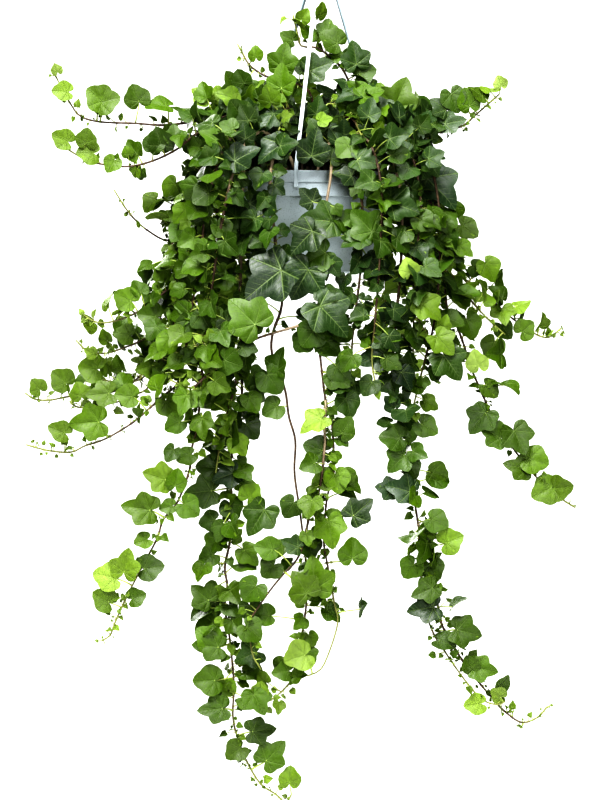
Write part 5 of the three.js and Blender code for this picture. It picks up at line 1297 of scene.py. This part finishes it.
class Graph:
    """A material's nodes, each added with what its inputs are linked to or set at."""

    def __init__(self, name):
        self.material = bpy.data.materials.new(name)
        self.material.use_nodes = True
        self.tree = self.material.node_tree
        self.shader = self.tree.nodes["Principled BSDF"]

    def feed(self, socket, value):
        if isinstance(value, bpy.types.NodeSocket):
            self.tree.links.new(value, socket)
        else:
            socket.default_value = value

    def node(self, kind, *values, **settings):
        made = self.tree.nodes.new("ShaderNode" + kind)
        for key, value in settings.items():
            setattr(made, key, value)
        for socket, value in zip(made.inputs, values):
            self.feed(socket, value)
        return made

    def math(self, operation, *values):
        return self.node("Math", *values, operation=operation).outputs[0]

    def total(self, first, *others):
        for value in others:
            first = self.math("ADD", first, value)
        return first

    def times(self, first, *others):
        for value in others:
            first = self.math("MULTIPLY", first, value)
        return first

    def most(self, first, second):
        return second if first is None else self.math("MAXIMUM", first, second)

    def blend(self, share, first, second, how="MIX"):
        made = self.tree.nodes.new("ShaderNodeMix")
        made.data_type = "RGBA"
        made.blend_type = how
        self.feed(made.inputs["Factor"], share)
        for socket, value in zip([s for s in made.inputs if s.type == "RGBA"], (first, second)):
            self.feed(socket, value)
        return [s for s in made.outputs if s.type == "RGBA"][0]

    def range(self, value, low, high, to_low=0.0, to_high=1.0, smooth=True):
        kind = "SMOOTHSTEP" if smooth else "LINEAR"
        return self.node(
            "MapRange", value, low, high, to_low, to_high, interpolation_type=kind
        ).outputs[0]

    def ramp(self, value, stops):
        made = self.node("ValToRGB", value)
        elements = made.color_ramp.elements
        while len(elements) < len(stops):
            elements.new(0.5)
        for element, (place, *colour) in zip(elements, stops):
            element.position = place
            element.color = srgb(*colour)
        return made.outputs[0]

    def attribute(self, name):
        made = self.node("Attribute", attribute_name=name)
        parts = self.node("SeparateXYZ", made.outputs["Vector"])
        return made.outputs["Vector"], parts.outputs

    def noise(self, where, scale, detail=3.0, roughness=0.55):
        made = self.node("TexNoise")
        self.feed(made.inputs["Vector"], where)
        made.inputs["Scale"].default_value = scale
        made.inputs["Detail"].default_value = detail
        made.inputs["Roughness"].default_value = roughness
        return made.outputs[0]

    def place(self):
        return self.node("TexCoord").outputs["Object"]

    def tinted(self, colour, value, low, high, share, tint):
        """The colour, with a share of a tint where the value is high."""
        return self.blend(self.range(value, low, high, 0, share), colour, srgb(*tint))

    def finished(self, colour, roughness, relief=None, depth=0.0):
        """The material of a surface, with the depth of its relief in metres."""
        self.feed(self.shader.inputs["Base Color"], colour)
        self.feed(self.shader.inputs["Roughness"], roughness)
        if relief is not None:
            bump = self.node("Bump")
            bump.inputs["Strength"].default_value = 1.0
            bump.inputs["Distance"].default_value = depth
            self.feed(bump.inputs["Height"], relief)
            self.feed(self.shader.inputs["Normal"], bump.outputs[0])
        return self.material


def srgb(red, green, blue):
    """A colour from its values on screen, 0 to 255."""
    parts = []
    for value in (red, green, blue):
        c = value / 255
        parts.append(c / 12.92 if c <= 0.04045 else ((c + 0.055) / 1.055) ** 2.4)
    return (*parts, 1)


def leaf_material():
    """Lime to bluish green by age, darkened by painted shade inside the plant, with pale veins that fan
    out from the stalk.
    """
    g = Graph("ivy_leaf")
    blade, (x, y, _) = g.attribute("blade")
    _, (age, tone, under) = g.attribute("look")
    x = g.math("ABSOLUTE", x)
    reach = g.math("SQRT", g.total(g.times(x, x), g.times(y, y)))

    veins, ribs = None, None
    for degrees in VEIN_ANGLES:
        s, c = math.sin(math.radians(degrees)), math.cos(math.radians(degrees))
        along = g.total(g.times(x, s), g.times(y, c))
        off = g.math("ABSOLUTE", g.math("SUBTRACT", g.times(x, c), g.times(y, s)))
        ahead = g.range(along, -0.01, 0.02)
        width = g.range(reach, 0.0, 0.9, 0.024, 0.008, smooth=False)
        line = g.times(g.range(g.math("DIVIDE", off, width), 0.4, 1.5, 1, 0), ahead)
        slant = g.math("SUBTRACT", along, g.times(off, 0.85))
        step = g.math("FRACT", g.math("DIVIDE", slant, 0.15))
        phase = g.math("ABSOLUTE", g.math("SUBTRACT", step, 0.5))
        branch = g.times(g.range(phase, 0.02, 0.1, 1, 0), g.range(off, 0.05, 0.26, 1, 0), ahead)
        veins = g.most(veins, line)
        ribs = g.most(ribs, branch)

    cells = g.node("TexVoronoi", blade, feature="DISTANCE_TO_EDGE")
    cells.inputs["Scale"].default_value = 17
    net = g.range(cells.outputs["Distance"], 0.0, 0.12, 1, 0)
    place = g.place()
    mottle = g.noise(place, 260, 4)
    patch = g.noise(place, 22, 2)

    green = g.ramp(age, [(0.0, 138, 158, 84), (0.22, 104, 128, 34), (0.45, 68, 94, 0),
                         (0.72, 44, 68, 14), (1.0, 33, 52, 33)])
    # Brightness from the tone, which carries each leaf's painted shade, and from mottling
    light = g.times(
        g.total(g.times(tone, 0.5), 0.72),
        g.range(mottle, 0.3, 0.7, 0.88, 1.12), g.range(patch, 0.3, 0.7, 0.88, 1.1),
    )
    green = g.blend(1.0, green, g.node("CombineXYZ", light, light, light).outputs[0], "MULTIPLY")
    pale = g.blend(0.5, green, srgb(150, 172, 104))
    shown = g.range(age, 0.25, 0.95, 0.35, 1.0)
    green = g.blend(g.times(net, 0.12), green, pale)
    green = g.blend(g.times(ribs, shown, 0.32), green, pale)
    green = g.blend(g.times(veins, shown, 0.5), green, pale)
    beneath = g.blend(0.5, green, srgb(126, 152, 50))
    colour = g.blend(under, green, beneath)

    gloss = g.total(
        g.range(age, 0.1, 0.9, 0.55, 0.4, smooth=False),
        g.range(mottle, 0.3, 0.7, -0.05, 0.05), g.times(under, 0.18),
    )
    relief = g.total(g.times(veins, -1.0), g.times(ribs, -0.45), g.times(mottle, 0.5))
    g.shader.inputs["Specular IOR Level"].default_value = 0.4
    return g.finished(colour, gloss, relief, 0.0004)


def stalk_material():
    """Leaf stalks: pale yellow-green, ruddy towards the stem."""
    g = Graph("ivy_stalk")
    _, (share, _, _) = g.attribute("blade")
    _, (age, tone, _) = g.attribute("look")
    ruddy = g.times(g.range(share, 0.0, 0.5, 1, 0), g.range(tone, 0.35, 0.9), 0.4)
    colour = g.ramp(age, [(0.0, 176, 194, 104), (0.6, 158, 176, 92), (1.0, 136, 154, 84)])
    colour = g.blend(ruddy, colour, srgb(142, 92, 62))
    streak = g.noise(g.place(), 420, 2)
    colour = g.tinted(colour, streak, 0.35, 0.7, 0.3, (120, 116, 58))
    return g.finished(colour, 0.5, streak, 0.0002)


def stem_material():
    """Stems: tan bark at the foot, dark brown further on, pale green at the growing tip."""
    g = Graph("ivy_stem")
    _, (share, _, _) = g.attribute("blade")
    place = g.place()
    streak = g.noise(place, 160, 4)
    fleck = g.noise(place, 900, 2)
    bark = g.ramp(streak, [(0.3, 50, 37, 28), (0.55, 78, 60, 43), (0.75, 116, 96, 68)])
    bark = g.tinted(bark, fleck, 0.6, 0.72, 0.5, (132, 116, 90))
    bark = g.blend(g.range(share, 0.05, 0.3, 0.7, 0), bark, srgb(190, 175, 148))
    colour = g.tinted(bark, share, 0.8, 1.0, 1.0, (128, 134, 70))
    return g.finished(colour, 0.62, fleck, 0.0003)


def pot_material():
    """Moulded grey-blue plastic with a fine grain, water marks and scuffs."""
    g = Graph("pot_plastic")
    place = g.place()
    grain = g.noise(place, 1400, 2)
    cloud = g.noise(place, 18, 4)
    colour = g.ramp(cloud, [(0.3, 172, 183, 188), (0.7, 184, 194, 199)])
    colour = g.tinted(colour, g.noise(place, 700, 1), 0.6, 0.68, 0.4, (98, 110, 114))
    colour = g.tinted(colour, grain, 0.3, 0.7, 0.12, (178, 188, 194))
    return g.finished(colour, g.range(cloud, 0.3, 0.7, 0.58, 0.7), grain, 0.0002)


def strap_material(name, deep, pale):
    """Moulded plastic, a little worn, and a plain grey near the pot's rim, where the front strap's
    painted highlight ends.
    """
    g = Graph(name)
    place = g.place()
    cloud = g.noise(place, 40, 3)
    colour = g.ramp(cloud, [(0.3, *deep), (0.7, *pale)])
    height = g.node("SeparateXYZ", place).outputs["Z"]
    # Near the rim every strap blends to plain grey, below the front strap's painted highlight
    colour = g.blend(g.range(height, -0.325, -0.285, 0.75, 0), colour, srgb(164, 178, 184))
    roughness = g.range(cloud, 0.3, 0.7, 0.36, 0.5)
    return g.finished(colour, roughness, g.noise(place, 1200, 2), 0.0001)


def soil_material():
    """Dark peat with brown fibre."""
    g = Graph("soil")
    place = g.place()
    crumb = g.noise(place, 380, 5, 0.7)
    colour = g.ramp(crumb, [(0.3, 28, 20, 15), (0.55, 58, 42, 31), (0.75, 92, 68, 48)])
    colour = g.tinted(colour, g.noise(place, 900, 2), 0.66, 0.72, 0.7, (150, 128, 98))
    return g.finished(colour, 0.92, crumb, 0.0015)


# Pieces

def place_piece(obj, node):
    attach(obj, "root")
    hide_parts(node)


def grow(stem, stem_index, materials):
    """One stem with its side shoots, leaves and stalks as one piece."""
    shape = Shape()
    dice = np.random.default_rng(LOOKS_SEED + stem_index)
    traces = [Trace(route) for route in stem["routes"]]
    leaves = []
    for route_index, (route, trace) in enumerate(zip(stem["routes"], traces)):
        grown = leaves_along(stem, route_index, trace, 10 * stem_index + route_index + 1)
        grown.extend(small_leaves(grown, trace, dice))
        grown = [leaf for leaf in grown if not (is_blocked(leaf) or is_in_the_way(leaf))]
        add_stem(shape, trace, is_rooted(route), grown)
        leaves.extend(grown)
    for leaf in leaves:
        leaf["age"] = age_of(leaf, dice)
        leaf["shade"] = shade_of(leaf)
    for table in (PLACED_LEAVES, FILLING_LEAVES):
        for placing in table.get(stem["name"], []):
            leaves.append(placed_leaf(traces, *placing))
    for leaf in leaves:
        add_blade(shape, leaf, dice)
        add_stalk(shape, leaf, dice)
    piece = shape.made("ivy_" + stem["name"], materials)
    place_piece(piece, stem["name"])


stems = [
    *STEMS,
    *[crown_stem(index) for index in range(CROWN["count"])],
    *[back_stem(index) for index in range(len(BACK["azimuths"]))],
]
foliage = [leaf_material(), stalk_material(), stem_material()]
for index, stem in enumerate(stems):
    grow(stem, index, foliage)

make_pot(pot_material())
make_soil(soil_material())
grey_plastic = strap_material("hanger_plastic", (140, 156, 164), (166, 180, 186))
make_hook(grey_plastic)
# The front strap is given whiter colours, a painted highlight
highlit_plastic = strap_material("highlit_plastic", (206, 214, 218), (230, 234, 236))
for number, azimuth in enumerate(STRAP_AZIMUTHS, 1):
    make_strap(number, azimuth, highlit_plastic if number == 1 else grey_plastic)


# Stage

PIXEL = 0.00125  # metres that a pixel of the photograph spans at the pot's axis
VIEW_HEIGHT = 800 * PIXEL
VIEW_MIDDLE = (-0.02625, -0.61)
CAMERA_DISTANCE = 8.0
SENSOR = 36
FLOOR_Z = -1.3
FLOOR_HALF = 1.3


def add_camera():
    data = bpy.data.cameras.new("camera")
    data.sensor_fit = "VERTICAL"
    data.sensor_height = SENSOR
    data.lens = SENSOR * CAMERA_DISTANCE / VIEW_HEIGHT
    camera = linked("camera", data)
    camera.location = (VIEW_MIDDLE[0], -CAMERA_DISTANCE, VIEW_MIDDLE[1])
    camera.rotation_euler = (math.pi / 2, 0, 0)
    bpy.context.scene.camera = camera


def add_lamp(name, place, width, watts, target=(0, 0, -0.5)):
    data = bpy.data.lights.new(name, "AREA")
    data.shape = "DISK"
    data.size = width
    data.energy = watts
    lamp = linked(name, data)
    lamp.location = place
    aim = np.array(target) - np.array(place)
    lamp.rotation_euler = (
        math.atan2(math.hypot(aim[0], aim[1]), -aim[2]), 0, math.atan2(-aim[0], aim[1])
    )


def add_floor():
    mesh = bpy.data.meshes.new("floor")
    corners = [(x * FLOOR_HALF, y * FLOOR_HALF, FLOOR_Z) for x, y in
               ((-1, -1), (1, -1), (1, 1), (-1, 1))]
    mesh.from_pydata(corners, [], [(0, 1, 2, 3)])
    mesh.materials.append(Graph("floor").finished((0.85, 0.85, 0.84, 1), 0.8))
    floor = linked("floor", mesh)


def add_world():
    """A white background that lights the plant only faintly."""
    world = bpy.data.worlds.new("studio")
    bpy.context.scene.world = world
    world.use_nodes = True
    tree = world.node_tree
    background = tree.nodes["Background"]
    background.inputs["Color"].default_value = (1, 1, 1, 1)
    seen = tree.nodes.new("ShaderNodeLightPath")
    strength = tree.nodes.new("ShaderNodeMapRange")
    strength.inputs["To Min"].default_value = 0.06
    strength.inputs["To Max"].default_value = 1.0
    tree.links.new(seen.outputs["Is Camera Ray"], strength.inputs["Value"])
    tree.links.new(strength.outputs["Result"], background.inputs["Strength"])


bpy.context.scene.view_settings.view_transform = "Standard"
bpy.context.scene.view_settings.look = "Very High Contrast"
add_camera()
add_world()
add_floor()
add_lamp("key", (-1.2, -2.8, 2.2), 1.4, 158)
add_lamp("fill", (0.6, -3.4, -0.1), 1.2, 42)
add_lamp("top", (0.2, -1.1, 1.7), 2.4, 76, (0, 0, -0.4))
add_lamp("back", (-1.6, 3.0, 1.2), 2.4, 130)
